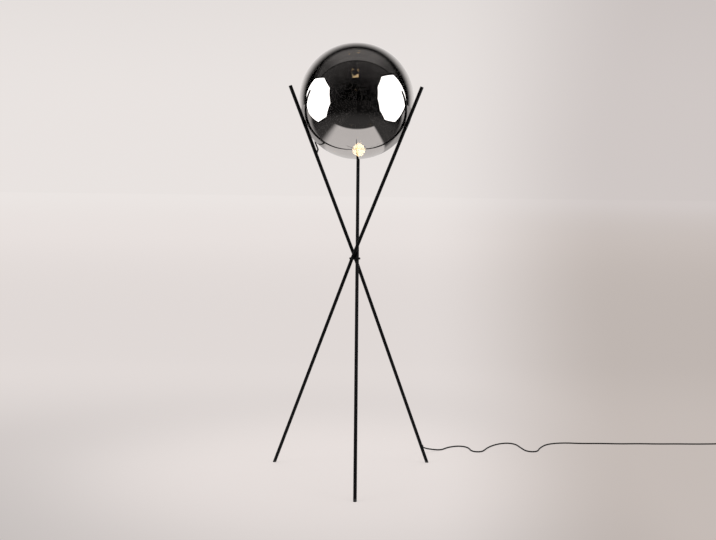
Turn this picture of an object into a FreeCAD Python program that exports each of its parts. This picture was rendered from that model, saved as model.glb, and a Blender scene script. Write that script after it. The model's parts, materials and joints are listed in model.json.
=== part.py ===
"""Globe floor lamp: a mirrored glass globe cradled by three crossing tube legs.

Millimetres. +Z is up and the lamp's axis, through the legs' crossing, is at X = Y = 0 on the floor.
Leg C stands in front (-Y); legs A and B cradle the globe and the mains lead runs up inside leg A.
"""
import FreeCAD, Part
import Sketcher
import math
import os
import re

Vector = FreeCAD.Vector
Rotation = FreeCAD.Rotation
Placement = FreeCAD.Placement
UP = Vector(0, 0, 1)
ALONG_X = Vector(1, 0, 0)

# Driving dimensions: alias in the sheet, value, what it measures (millimetres and degrees).
SIZES = [
    ("rod_d", 12.0, "leg tube, outside diameter"),
    ("rod_wall", 1.2, "leg tube, wall"),
    ("hub_height", 777.5, "middle of the hub disc, where lower and upper tubes meet"),
    ("cross_rise", 15.0, "from there up to where the upper legs pass closest to the lamp axis"),
    ("cross_offset", 8.2, "leg axis to lamp axis where they pass closest"),
    ("tilt_upper", 23.95, "upper tube, lean from upright"),
    ("tilt_lower", 22.53, "lower tube, lean from upright"),
    ("upper_run", 630.9, "crossing to the top of the leg, along the leg"),
    ("fit_gap", 0.05, "play between pieces that are pushed or screwed together"),
    ("rest_gap", 0.3, "space between pieces that only rest on each other"),
    ("joiner_reach", 40.0, "joiner, length into each tube"),
    ("tip_height", 8.0, "foot tip, length below the tube"),
    ("spigot_reach", 16.0, "foot tip and top plug, length inside the tube"),
    ("plug_cap", 1.6, "top plug, thickness of its cap"),
    ("edge_break", 0.5, "small chamfer on turned pieces"),
    ("hub_d", 39.0, "hub disc, diameter"),
    ("hub_thick", 6.4, "hub disc, thickness"),
    ("hub_edge", 0.8, "hub disc, chamfer"),
    ("grub_d", 3.0, "hub grub screw, diameter"),
    ("grub_key", 1.5, "hub grub screw, hexagon socket across flats"),
    ("globe_d", 400.0, "globe, outside diameter"),
    ("globe_wall", 3.0, "globe, glass thickness"),
    ("pad_wall", 0.7, "clear sleeve on legs A and B, wall"),
    ("pad_length", 22.0, "clear sleeve, length"),
    ("fitter_d", 90.0, "globe, opening at the back"),
    ("gasket_lip", 4.0, "fitter gasket, width inside the opening"),
    ("gasket_rise", 2.1, "fitter gasket, height above the opening's edge"),
    ("cap_lap", 8.0, "fitter cap, reach beyond the opening's edge all round"),
    ("cap_thick", 2.5, "fitter cap, thickness"),
    ("cap_rim", 1.6, "fitter cap, rim wall"),
    ("cap_drop", 1.8, "fitter cap, rim depth"),
    ("bar_length", 112.0, "crossbar inside the globe, length"),
    ("bar_width", 16.0, "crossbar, width"),
    ("bar_thick", 2.0, "crossbar, thickness"),
    ("nipple_d", 10.0, "threaded nipple, diameter"),
    ("nipple_tail", 10.0, "threaded nipple, length inside the stem"),
    ("nipple_head", 6.0, "threaded nipple, length inside the stand-off"),
    ("nut_flats", 14.0, "lock nut, across flats"),
    ("nut_thick", 4.0, "lock nut, thickness"),
    ("post_d", 20.0, "stand-off, diameter"),
    ("post_length", 29.1, "stand-off, length"),
    ("post_wall", 3.0, "stand-off, side wall"),
    ("post_end", 6.0, "stand-off, closed end"),
    ("saddle_web", 2.5, "saddle, thickness where the leg rests on it"),
    ("saddle_wrap", 4.0, "saddle, depth up the leg's sides"),
    ("saddle_d", 18.0, "saddle, diameter"),
    ("bolt_d", 5.0, "globe bolt, diameter"),
    ("bolt_bite", 4.5, "globe bolt, length in the stand-off"),
    ("bolt_head_d", 8.5, "globe bolt, head diameter"),
    ("bolt_head", 5.0, "globe bolt, head height"),
    ("bolt_key", 4.0, "globe bolt, hexagon socket across flats"),
    ("washer_d", 11.0, "hollowed washer behind leg C, diameter"),
    ("washer_web", 1.6, "hollowed washer, least thickness"),
    ("washer_wrap", 2.5, "hollowed washer, depth down the leg's sides"),
    ("entry_rise", 13.0, "cable entry in the stand-off, height above the fitter cap"),
    ("entry_bend", 6.9, "lead, radius of its turn inside the stand-off"),
    ("lead_d", 5.5, "mains cord and lamp lead, diameter"),
    ("lead_gap", 0.5, "space round the lead inside pipes"),
    ("collar_gap", 0.05, "space round the lead inside grommets"),
    ("collar_wall", 0.7, "grommet neck, wall"),
    ("collar_flange", 1.6, "grommet flange, thickness"),
    ("stem_d", 13.0, "lamp stem, diameter"),
    ("stem_drop", 36.0, "lamp stem, nut to the corner of its bend"),
    ("stem_bend", 30.0, "lamp stem, radius of its bend"),
    ("bulb_side", 10.0, "bulb centre, right of the globe's centre"),
    ("bulb_clear", 6.5, "bulb, height above the glass under it"),
    ("bulb_d", 45.0, "bulb, diameter"),
    ("bulb_wall", 0.8, "bulb, glass thickness"),
    ("bulb_length", 78.0, "bulb, overall length"),
    ("neck_d", 12.6, "bulb, neck at its screw base"),
    ("screw_d", 13.9, "bulb, screw base diameter"),
    ("screw_length", 18.0, "bulb, screw base length"),
    ("holder_d", 29.0, "lampholder, diameter"),
    ("holder_wall", 1.6, "lampholder, wall"),
    ("holder_cup", 17.0, "lampholder, length of its back cup"),
    ("holder_sleeve", 30.0, "lampholder, length of its front sleeve"),
    ("holder_core", 7.0, "lampholder, thickness of the ceramic core"),
    ("socket_wall", 0.5, "lampholder, wall of its screw socket"),
    ("filament_d", 1.8, "bulb filament, diameter"),
    ("outlet_height", 62.0, "cord outlet in leg A, height on the leg's axis"),
    ("outlet_turn", 82.0, "cord outlet, direction seen from above, from +X"),
    ("outlet_dip", 8.0, "cord outlet, fall below level"),
    ("outlet_bend", 6.5, "lead, radius of its turn into the cord outlet"),
    ("relief_root", 9.6, "strain relief, diameter at its root"),
    ("relief_tip", 6.9, "strain relief, diameter at its tip"),
    ("relief_length", 26.0, "strain relief on leg A, length outside the tube"),
    ("exit_below", 108.2, "lamp lead outlet in leg A, down the leg from where the globe rests"),
    ("exit_turn", 59.6, "that outlet, direction seen from above, from +X"),
    ("exit_rise", 41.2, "that outlet, rise above level"),
    ("exit_first", 19.7, "lead, its first stretch in line with that outlet"),
    ("exit_bend", 6.5, "lead, radius of its turn into that outlet"),
    ("exit_length", 4.5, "grommet at that outlet, length outside the tube"),
    ("cord_first", 45.0, "mains cord, its first stretch, in line with the outlet"),
    ("floor_gap", 0.1, "cord above the floor"),
    ("switch_x", 1592.0, "foot switch, place"),
    ("switch_y", 491.0, "foot switch, place"),
    ("switch_straight", 42.0, "foot switch, length between its round ends"),
    ("switch_width", 34.0, "foot switch, width"),
    ("switch_tall", 22.0, "foot switch, height"),
    ("switch_base_tall", 7.0, "foot switch, height of its base"),
    ("switch_wall", 2.0, "foot switch, wall"),
    ("switch_round", 4.0, "foot switch, rounding of its top edge"),
    ("switch_entry", 8.5, "foot switch, height of the cord's axis"),
    ("switch_relief", 20.0, "foot switch, length of its strain reliefs"),
    ("rocker_length", 21.0, "rocker, length"),
    ("rocker_width", 12.0, "rocker, width"),
    ("rocker_pivot", 17.0, "rocker, height of its pin"),
    ("rocker_rise", 5.4, "rocker, top of its ends above the pin"),
    ("rocker_dish", 1.4, "rocker, depth of the dish in its top"),
    ("rocker_drop", 4.5, "rocker, bottom below the pin"),
    ("rocker_tilt", 7.0, "rocker, tilt at rest, one end pressed down"),
    ("window_gap", 0.8, "space round the rocker in its window, lengthwise"),
    ("side_gap", 0.35, "space at each side of the rocker"),
    ("pin_d", 2.5, "rocker pin, diameter"),
    ("pin_gap", 0.06, "running clearance of the rocker on its pin"),
    ("lug_thick", 1.8, "rocker lugs, thickness"),
    ("screw_hole_x", 19.0, "switch screws, lengthwise from the middle"),
    ("screw_hole_y", 11.3, "switch screws, sideways from the middle"),
    ("screw_post_d", 6.0, "switch screw posts, diameter"),
    ("case_screw_d", 2.9, "switch screws, diameter"),
    ("case_screw_head", 5.2, "switch screws, head diameter"),
    ("coil_x", 1662.0, "cord coil, centre"),
    ("coil_y", 425.0, "cord coil, centre"),
    ("coil_inner", 22.4, "cord coil, least radius of its middle line"),
    ("coil_pitch", 6.1, "cord coil, turn to turn and layer to layer"),
    ("tie_thick", 0.8, "coil tie, thickness"),
    ("tie_width", 14.0, "coil tie, width"),
    ("tie_gap", 0.12, "coil tie, space round the turns"),
    ("plug_x", 1582.0, "plug, place of its front face"),
    ("plug_y", 335.0, "plug, place of its middle"),
    ("plug_long", 36.0, "plug, body length"),
    ("plug_wide", 35.0, "plug, body width"),
    ("plug_tall", 13.8, "plug, body thickness"),
    ("plug_neck", 13.0, "plug, width at the cord"),
    ("plug_relief", 22.0, "plug, strain relief length"),
    ("prong_d", 4.0, "plug pins, diameter"),
    ("prong_length", 19.0, "plug pins, length outside the body"),
    ("prong_root", 6.0, "plug pins, length inside the body"),
    ("prong_pitch", 18.6, "plug pins, spacing"),
]
COIL_TURNS = 5
FILAMENTS = 4
LEGS = {"a": 210.0, "b": 330.0, "c": 90.0}

# Lead behind the globe, on its way to the stand-off: points of its path, chosen by hand, from the
# globe's centre in multiples of its radius.
LEAD_BEHIND_GLOBE = [
    (-0.690, 0.053, -0.766),
    (-0.728, 0.293, -0.686),
    (-0.660, 0.553, -0.636),
    (-0.485, 0.803, -0.571),
    (-0.270, 0.943, -0.496),
]

# Mains cord on the floor, from the strain relief's tip to the foot switch: chosen by hand.
CORD_RUN = [
    (270.0, 278.0, 30.5),
    (299.0, 327.0, 11.0),
    (347.0, 343.0, 2.85),
    (379.0, 391.0, 2.85),
    (425.0, 415.0, 2.85),
    (458.0, 394.0, 2.85),
    (458.0, 330.0, 2.85),
    (515.0, 323.0, 2.85),
    (533.0, 387.0, 2.85),
    (574.0, 444.0, 2.85),
    (623.0, 471.0, 2.85),
    (656.0, 452.0, 2.85),
    (668.0, 392.0, 2.85),
    (677.0, 337.0, 2.85),
    (732.0, 336.0, 2.85),
    (743.0, 390.0, 2.85),
    (781.0, 457.0, 2.85),
    (850.0, 482.0, 2.85),
    (925.0, 473.0, 2.85),
    (1003.0, 478.0, 2.85),
    (1080.0, 474.0, 2.85),
    (1157.0, 481.0, 2.85),
    (1235.0, 479.0, 2.85),
    (1312.0, 484.0, 2.85),
    (1386.0, 484.0, 2.85),
    (1446.0, 488.5, 2.85),
    (1484.0, 490.0, 3.4),
    (1510.5, 491.0, 8.5),
]
# From the switch to the coil, and from the coil to the plug.
CORD_LINK = [
    (1672.0, 491.0, 8.5),
    (1691.0, 479.5, 4.6),
    (1699.65, 455.5, 3.77),
]
CORD_TAIL = [
    (1699.65, 398.0, 9.87),
    (1697.5, 371.0, 4.7),
    (1684.0, 345.5, 4.6),
    (1662.5, 335.0, 7.0),
]

doc = FreeCAD.newDocument("GlobeFloorLamp")
sheet = doc.addObject("Spreadsheet::Sheet", "Sizes")
for row, (alias, number, meaning) in enumerate(SIZES, start=1):
    sheet.set("A%d" % row, alias)
    sheet.set("B%d" % row, str(number))
    sheet.set("C%d" % row, meaning)
    sheet.setAlias("B%d" % row, alias)
doc.recompute()

ALIASES = {alias for alias, _number, _meaning in SIZES}
NODES = []


# ---------------------------------------------------------------- helpers
def bound(expression):
    """The expression with each alias read from the sheet."""
    def from_sheet(match):
        word = match.group(0)
        return "Sizes." + word if word in ALIASES else word
    return re.sub(r"[A-Za-z_]\w*", from_sheet, str(expression))


def size(expression):
    """The number that an expression over the sheet comes to."""
    found = sheet.evalExpression(bound(expression))
    return float(getattr(found, "Value", found))


def unit(vector):
    """The vector at length one."""
    copy = Vector(vector)
    copy.normalize()
    return copy


def facing(origin, direction, across=ALONG_X):
    """Placement whose Z runs along direction and whose X leans towards across."""
    z_axis = unit(direction)
    x_axis = unit(across - z_axis * across.dot(z_axis))
    return Placement(origin, Rotation(x_axis, z_axis.cross(x_axis), z_axis, "ZXY"))


def primitive(kind, name, place, **sizes):
    """A Part primitive whose properties are bound to the sheet."""
    made = doc.addObject("Part::" + kind, name)
    for prop, expression in sizes.items():
        made.setExpression(prop, bound(expression))
    made.Placement = place
    return made


def cylinder(name, place, radius, height):
    return primitive("Cylinder", name, place, Radius=radius, Height=height)


def sphere(name, centre, radius):
    return primitive("Sphere", name, Placement(centre, Rotation()), Radius=radius)


def cone(name, place, radius_low, radius_high, height):
    return primitive("Cone", name, place, Radius1=radius_low, Radius2=radius_high, Height=height)


def block(name, place, length, width, height):
    """Box centred on the placement in X and Y, and standing on it in Z."""
    shift = Vector(-size(length) / 2, -size(width) / 2, 0)
    centred = place.multiply(Placement(shift, Rotation()))
    return primitive("Box", name, centred, Length=length, Width=width, Height=height)


def hexagon(name, place, flats, height):
    made = primitive("Prism", name, place, Circumradius="(%s)/2/cos(30)" % flats, Height=height)
    made.Polygon = 6
    return made


def fuse(name, *pieces):
    made = doc.addObject("Part::MultiFuse", name)
    made.Shapes = list(pieces)
    made.Refine = True
    return made


def cut(name, base, *tools):
    """Base without the tools."""
    made = doc.addObject("Part::Cut", name)
    made.Base = base
    made.Tool = tools[0] if len(tools) == 1 else fuse(name + "_tools", *tools)
    return made


def common(name, base, tool):
    made = doc.addObject("Part::Common", name)
    made.Base = base
    made.Tool = tool
    return made


def group(name, *pieces):
    """Several equal solids as one sub-part."""
    made = doc.addObject("Part::Compound", name)
    made.Links = list(pieces)
    return made


def node(made, label):
    """Names a finished sub-part."""
    made.Label = label
    NODES.append(made)
    return made


def profile_sketch(body, name, plane_role, points):
    """Closed outline of straight lines, with each corner bound to the sheet."""
    sketch = body.newObject("Sketcher::SketchObject", name)
    plane = next(item for item in body.Origin.OriginFeatures if item.Role == plane_role)
    sketch.AttachmentSupport = [(plane, "")]
    sketch.MapMode = "FlatFace"
    corners = [(size(across), size(upward)) for across, upward in points]
    count = len(corners)
    for index, (across, upward) in enumerate(corners):
        end = corners[(index + 1) % count]
        sketch.addGeometry(Part.LineSegment(Vector(across, upward, 0), Vector(end[0], end[1], 0)), False)
    for index in range(count):
        sketch.addConstraint(Sketcher.Constraint("Coincident", index, 2, (index + 1) % count, 1))
    for index, expressions in enumerate(points):
        for kind, axis, expression, value in (
            ("DistanceX", -2, expressions[0], corners[index][0]),
            ("DistanceY", -1, expressions[1], corners[index][1]),
        ):
            if value == 0:
                sketch.addConstraint(Sketcher.Constraint("PointOnObject", index, 1, axis))
                continue
            placed = sketch.addConstraint(Sketcher.Constraint(kind, -1, 1, index, 1, value))
            sketch.setExpression("Constraints[%d]" % placed, bound(expression))
    return sketch


def turned(name, place, points):
    """Body turned about its Z axis from an outline of (radius, height)."""
    body = doc.addObject("PartDesign::Body", name)
    sketch = profile_sketch(body, name + "_outline", "XZ_Plane", points)
    turn = body.newObject("PartDesign::Revolution", name + "_turn")
    turn.Profile = sketch
    turn.ReferenceAxis = (sketch, ["V_Axis"])
    turn.Angle = 360
    body.Placement = place
    return body


def padded(name, place, points, thickness, plane_role="XY_Plane", midplane=False):
    """Body padded from a flat outline."""
    body = doc.addObject("PartDesign::Body", name)
    sketch = profile_sketch(body, name + "_outline", plane_role, points)
    pad = body.newObject("PartDesign::Pad", name + "_pad")
    pad.Profile = sketch
    pad.Midplane = midplane
    pad.setExpression("Length", bound(thickness))
    body.Placement = place
    return body


def corner_of(before, corner, after, radius=None):
    """Arc that rounds a corner of a path; its radius is 0.45 of the shorter run unless one is given."""
    come = corner - before
    leave = after - corner
    turn = come.getAngle(leave)
    reach = 0.45 * min(come.Length, leave.Length)
    if radius is not None:
        reach = radius * math.tan(turn / 2)
    start = corner - unit(come) * reach
    end = corner + unit(leave) * reach
    bend = reach / math.tan(turn / 2)
    inward = unit(start + end - corner * 2)
    middle = corner + inward * (bend / math.cos(turn / 2) - bend)
    return start, middle, end, bend


def rounded_path(points, radii=None):
    """Edges of straight runs joined by tangent arcs, and the arcs' radii."""
    edges = []
    bends = []
    here = points[0]
    for index in range(1, len(points) - 1):
        wanted = (radii or {}).get(index)
        start, middle, end, bend = corner_of(points[index - 1], points[index], points[index + 1], wanted)
        edges.append(Part.LineSegment(here, start).toShape())
        edges.append(Part.Arc(start, middle, end).toShape())
        bends.append(bend)
        here = end
    edges.append(Part.LineSegment(here, points[-1]).toShape())
    return edges, bends


def tube_shape(edges, outer, inner=None):
    """Solid round bar, or pipe, along the edges."""
    path = Part.Wire(edges)
    start = path.Edges[0].valueAt(path.Edges[0].FirstParameter)
    along = path.Edges[0].tangentAt(path.Edges[0].FirstParameter)
    shapes = []
    for radius in [outer] + ([inner] if inner else []):
        ring = Part.Wire([Part.Circle(start, along, radius).toShape()])
        shell = Part.BRepOffsetAPI.MakePipeShell(path)
        shell.add(ring)
        shell.build()
        shell.makeSolid()
        shapes.append(Part.Solid(shell.shape()))
    if inner:
        return shapes[0].cut(shapes[1])
    return shapes[0]


def path_length(edges):
    return sum(edge.Length for edge in edges)


def shaped(label, shape):
    """A sub-part whose shape comes straight from the geometry functions."""
    made = doc.addObject("Part::Feature", label)
    made.Shape = shape
    return node(made, label)


def cord(label, points, radii=None):
    """Round cord along a rounded path; prints its bends and compares its volume with its length."""
    edges, bends = rounded_path(points, radii)
    shape = tube_shape(edges, size("lead_d/2"))
    length = path_length(edges)
    expected = math.pi * size("lead_d/2") ** 2 * length
    print("%s: %.0f mm, least bend %.1f mm, volume/expected %.4f"
          % (label, length, min(bends), shape.Volume / expected))
    print("  bends " + " ".join("%.0f" % bend for bend in bends))
    shaped(label, shape)
    return edges


# ---------------------------------------------------------------- where things are
def leg_line(azimuth):
    """Points and directions of one leg: its two tubes meet at the knee, in the hub disc."""
    angle = math.radians(azimuth)
    outward = Vector(math.cos(angle), math.sin(angle), 0)
    beside = Vector(math.sin(angle), -math.cos(angle), 0)
    upper = outward * size("sin(tilt_upper)") + UP * size("cos(tilt_upper)")
    lower = outward * size("sin(tilt_lower)") + UP * size("cos(tilt_lower)")
    cross = beside * size("cross_offset") + UP * size("hub_height + cross_rise")
    knee = cross - upper * size("cross_rise/cos(tilt_upper)")
    return {
        "upper": upper,
        "lower": lower,
        "knee": knee,
        "cross": cross,
        "foot": knee - lower * size("hub_height/cos(tilt_lower)"),
        "top": cross + upper * size("upper_run"),
    }


def off_line(point, line):
    """Vector to the point from the nearest point of a leg's upper axis."""
    away = point - line["cross"]
    return away - line["upper"] * away.dot(line["upper"])


def globe_centre():
    """Centre of the globe: at rest on the sleeves of legs A and B, with its stand-off against leg C."""
    rest = size("globe_d/2 + rest_gap + pad_wall + rod_d/2")
    reaches = (("a", rest), ("b", rest), ("c", LEG_C_AWAY))
    centre = Vector(0, 0, LINES["c"]["cross"].z + rest / size("sin(tilt_upper)"))
    for _step in range(40):
        away = [off_line(centre, LINES[letter]) for letter, _reach in reaches]
        rows = FreeCAD.Matrix()
        for index, vector in enumerate(away):
            rows.setRow(index, unit(vector))
        missing = Vector(*[reach - vector.Length for (_letter, reach), vector in zip(reaches, away)])
        centre = centre + rows.inverse().multVec(missing)
    return centre


# Heights along the fitter's axis, counted from the globe's centre.
GASKET_TOP = size("sqrt((globe_d/2)^2 - (fitter_d/2)^2) + gasket_rise")
CAP_TOP = GASKET_TOP + size("cap_thick")
POST_TOP = CAP_TOP + size("post_length")
LEG_C_AWAY = POST_TOP + size("saddle_web + rod_d/2")
BAR_TOP = size("sqrt((globe_d/2 - globe_wall)^2 - (bar_length/2)^2 - (bar_width/2)^2) - rest_gap")
NUT_TOP = BAR_TOP - size("bar_thick")
STEM_TOP = NUT_TOP - size("nut_thick")
ENTRY = CAP_TOP + size("entry_rise")

LINES = {letter: leg_line(azimuth) for letter, azimuth in LEGS.items()}
GLOBE = globe_centre()
FITTER_AXIS = unit(off_line(GLOBE, LINES["c"]) * -1)


def on_fitter(height):
    """Placement on the fitter's axis, facing out of the globe."""
    return facing(GLOBE + FITTER_AXIS * height, FITTER_AXIS)


ACROSS_FITTER = on_fitter(0).Rotation.multVec(ALONG_X)
STEM_CORNER = GLOBE + FITTER_AXIS * (STEM_TOP - size("stem_drop"))
BULB_DEPTH = size("globe_d/2 - globe_wall - bulb_clear - bulb_d/2")
BULB_CENTRE = GLOBE + Vector(size("bulb_side"), 0, -BULB_DEPTH)
BULB_AXIS = unit(BULB_CENTRE - STEM_CORNER)
# Distances along the bulb's axis, counted from the lampholder's back.
CORE_AT = size("holder_cup - holder_wall")
CONTACT_AT = CORE_AT + size("holder_core") + size("socket_wall")
BULB_AT = CONTACT_AT + size("bulb_length - bulb_d/2")
HOLDER_BACK = BULB_CENTRE - BULB_AXIS * BULB_AT


def in_holder(height):
    """Placement on the lampholder's axis, facing the bulb."""
    return facing(HOLDER_BACK + BULB_AXIS * height, BULB_AXIS)


def level_direction(turn, dip):
    """Direction given by its turn from +X and its fall below level."""
    turn, dip = math.radians(turn), math.radians(dip)
    return Vector(math.cos(turn) * math.cos(dip), math.sin(turn) * math.cos(dip), -math.sin(dip))


LEG_A = LINES["a"]
OUTLET = LEG_A["knee"] - LEG_A["lower"] * size("(hub_height - outlet_height)/cos(tilt_lower)")
OUTLET_WAY = level_direction(size("outlet_turn"), size("outlet_dip"))
OUTLET_TIP = OUTLET + OUTLET_WAY * size("rod_d/2 + relief_length")
EXIT = GLOBE - off_line(GLOBE, LEG_A) - LEG_A["upper"] * size("exit_below")
BEHIND_GLOBE = [GLOBE + Vector(*point) * size("globe_d/2") for point in LEAD_BEHIND_GLOBE]
EXIT_WAY = level_direction(size("exit_turn"), -size("exit_rise"))
print("globe centre %.2f %.2f %.2f, leg C %.2f away, cord outlet tip %.2f %.2f %.2f"
      % (*GLOBE, LEG_C_AWAY, *OUTLET_TIP))


# ---------------------------------------------------------------- legs
def collar_hole(name, centre, direction):
    """Hole for a grommet's neck, from a leg's axis outwards."""
    return cylinder(name, facing(centre, direction), "lead_d/2 + collar_gap + collar_wall + fit_gap", "2*rod_d")


def leg_tubes(letter, line):
    """The lower and the upper tube, each cut level where they meet in the hub."""
    name = "leg_" + letter
    low_start = facing(line["foot"] + line["lower"] * size("tip_height"), line["lower"])
    low_length = "hub_height/cos(tilt_lower) - tip_height + rod_d/2"
    high_start = facing(line["knee"] - line["upper"] * size("rod_d/2"), line["upper"])
    high_length = "rod_d/2 + cross_rise/cos(tilt_upper) + upper_run - plug_cap"
    above = block(name + "_above", Placement(line["knee"], Rotation()), "4*rod_d", "4*rod_d", "2*rod_d")
    below_place = Placement(line["knee"] - UP * size("2*rod_d"), Rotation())
    below = block(name + "_below", below_place, "4*rod_d", "4*rod_d", "2*rod_d")
    low_tools = [cylinder(name + "_low_bore", low_start, "rod_d/2 - rod_wall", low_length), above]
    high_tools = [cylinder(name + "_high_bore", high_start, "rod_d/2 - rod_wall", high_length), below]
    if letter == "a":
        low_tools.append(collar_hole("outlet_hole", OUTLET, OUTLET_WAY))
        high_tools.append(collar_hole("exit_hole", EXIT, EXIT_WAY))
    if letter == "c":
        through = on_fitter(LEG_C_AWAY - size("rod_d"))
        high_tools.append(cylinder("bolt_hole", through, "bolt_d/2 + fit_gap", "2*rod_d"))
    low = cylinder(name + "_low_bar", low_start, "rod_d/2", low_length)
    high = cylinder(name + "_high_bar", high_start, "rod_d/2", high_length)
    node(cut(name + "_low", low, *low_tools), name + "_lower_tube")
    node(cut(name + "_high", high, *high_tools), name + "_upper_tube")


def knee_bar(name, line, radius, reach):
    """Round bar that follows a leg through its knee."""
    return fuse(
        name,
        cylinder(name + "_low", facing(line["knee"], line["lower"] * -1), radius, reach),
        cylinder(name + "_high", facing(line["knee"], line["upper"]), radius, reach),
        sphere(name + "_knee", line["knee"], radius),
    )


def joiner(letter, line):
    """Hollow cranked spigot inside the two tubes of a leg, with room for the lead."""
    name = "joiner_" + letter
    outside = knee_bar(name + "_outside", line, "rod_d/2 - rod_wall - fit_gap", "joiner_reach")
    inside = knee_bar(name + "_inside", line, "lead_d/2 + lead_gap", "joiner_reach + rod_d")
    node(cut(name, outside, inside), "leg_%s_joiner" % letter)


def foot_tip(letter, line):
    """Rubber tip pushed into the lower tube and cut level where it stands on the floor."""
    name = "tip_" + letter
    start = facing(line["foot"] - line["lower"] * size("rod_d"), line["lower"])
    bar = cylinder(name + "_bar", start, "rod_d/2", "rod_d + tip_height")
    ground = block(name + "_ground", Placement(line["foot"], Rotation()), "4*rod_d", "4*rod_d", "4*rod_d")
    root = facing(line["foot"] + line["lower"] * size("tip_height - rod_wall"), line["lower"])
    spigot = cylinder(name + "_spigot", root, "rod_d/2 - rod_wall - fit_gap", "spigot_reach + rod_wall")
    node(fuse(name, common(name + "_sole", bar, ground), spigot), "foot_tip_" + letter)


def top_plug(letter, line):
    """Flat cap that closes the top of a leg."""
    root = line["top"] - line["upper"] * size("plug_cap + spigot_reach")
    spigot = "rod_d/2 - rod_wall - fit_gap"
    outline = [
        ("0", "0"),
        (spigot, "0"),
        (spigot, "spigot_reach"),
        ("rod_d/2", "spigot_reach"),
        ("rod_d/2", "spigot_reach + plug_cap - edge_break"),
        ("rod_d/2 - edge_break", "spigot_reach + plug_cap"),
        ("0", "spigot_reach + plug_cap"),
    ]
    node(turned("plug_" + letter, facing(root, line["upper"]), outline), "top_plug_" + letter)


def hub():
    """Disc that holds the three legs apart where they cross, with a grub screw on each."""
    outline = [
        ("0", "0"),
        ("hub_d/2 - hub_edge", "0"),
        ("hub_d/2", "hub_edge"),
        ("hub_d/2", "hub_thick - hub_edge"),
        ("hub_d/2 - hub_edge", "hub_thick"),
        ("0", "hub_thick"),
    ]
    blank = turned("hub_blank", Placement(UP * size("hub_height - hub_thick/2"), Rotation()), outline)
    tools = []
    screws = []
    for letter, line in LINES.items():
        tools.append(knee_bar("hub_bore_" + letter, line, "rod_d/2 + 2*fit_gap", "2*hub_thick"))
        beside = unit(Vector(line["cross"].x, line["cross"].y, 0))
        hole_place = facing(line["knee"], beside, UP)
        tools.append(cylinder("grub_hole_" + letter, hole_place, "grub_d/2 + fit_gap", "hub_d/2"))
        start = line["knee"] + beside * size("rod_d/2 + rest_gap")
        rim = "sqrt((hub_d/2)^2 - (cross_rise*tan(tilt_upper))^2)"
        length = "%s - cross_offset - rod_d/2 - rest_gap - grub_d/4" % rim
        screw = cylinder("grub_" + letter, facing(start, beside, UP), "grub_d/2", length)
        key_start = start + beside * (size(length) / 2)
        key = hexagon("grub_key_" + letter, facing(key_start, beside, UP), "grub_key", "hub_d/2")
        screws.append(cut("grub_screw_" + letter, screw, key))
    node(cut("hub", blank, *tools), "hub_disc")
    node(group("grub_screws", *screws), "hub_grub_screws")


def pads():
    """Clear sleeves on legs A and B, where the globe rests."""
    for letter in ("a", "b"):
        line = LINES[letter]
        nearest = GLOBE - off_line(GLOBE, line)
        start = facing(nearest - line["upper"] * size("pad_length/2"), line["upper"])
        outline = [
            ("rod_d/2 + fit_gap/2", "0"),
            ("rod_d/2 + pad_wall", "0"),
            ("rod_d/2 + pad_wall", "pad_length"),
            ("rod_d/2 + fit_gap/2", "pad_length"),
        ]
        node(turned("pad_" + letter, start, outline), "globe_pad_" + letter)


# ---------------------------------------------------------------- globe and its fitting on leg C
def globe():
    """Blown glass ball with a round opening at the back."""
    ball = sphere("globe_ball", GLOBE, "globe_d/2")
    hollow = sphere("globe_hollow", GLOBE, "globe_d/2 - globe_wall")
    opening = cylinder("globe_opening", on_fitter(0), "fitter_d/2", "globe_d")
    node(cut("globe", ball, hollow, opening), "glass_globe")


def fitter():
    """Cap, gasket, crossbar, nipple and nut that clamp the globe's opening."""
    outer = "fitter_d/2 + cap_lap"
    ring = cylinder("gasket_ring", on_fitter(GASKET_TOP - size("globe_wall*3")),
                    outer + " - cap_rim - fit_gap", "globe_wall*3")
    middle = cylinder("gasket_middle", on_fitter(0), "fitter_d/2 - gasket_lip", "globe_d")
    seat = sphere("gasket_seat", GLOBE, "globe_d/2 + fit_gap")
    node(cut("gasket", ring, middle, seat), "fitter_gasket")

    hole = "nipple_d/2 + fit_gap"
    outline = [
        (hole, "cap_drop"),
        (outer + " - cap_rim", "cap_drop"),
        (outer + " - cap_rim", "0"),
        (outer, "0"),
        (outer, "cap_drop + cap_thick - edge_break"),
        (outer + " - edge_break", "cap_drop + cap_thick"),
        (hole, "cap_drop + cap_thick"),
    ]
    node(turned("cap", on_fitter(GASKET_TOP - size("cap_drop")), outline), "fitter_cap")

    bar = block("bar_blank", on_fitter(BAR_TOP - size("bar_thick")), "bar_length", "bar_width", "bar_thick")
    bar_hole = cylinder("bar_hole", on_fitter(0), hole, "globe_d/2")
    node(cut("bar", bar, bar_hole), "fitter_crossbar")

    nut = hexagon("nut_blank", on_fitter(STEM_TOP), "nut_flats", "nut_thick")
    nut_hole = cylinder("nut_hole", on_fitter(0), hole, "globe_d/2")
    node(cut("nut", nut, nut_hole), "fitter_lock_nut")

    nipple_place = on_fitter(STEM_TOP - size("nipple_tail"))
    shaft = doc.addObject("Part::Cylinder", "nipple_shaft")
    shaft.setExpression("Radius", bound("nipple_d/2"))
    shaft.Height = CAP_TOP - STEM_TOP + size("nipple_tail + nipple_head")
    shaft.Placement = nipple_place
    head = cylinder("nipple_plug", on_fitter(CAP_TOP), "post_d/2 - post_wall - fit_gap", "nipple_head")
    bore = cylinder("nipple_bore", on_fitter(0), "lead_d/2 + lead_gap", "globe_d")
    node(cut("nipple", fuse("nipple_blank", shaft, head), bore), "fitter_nipple")


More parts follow.
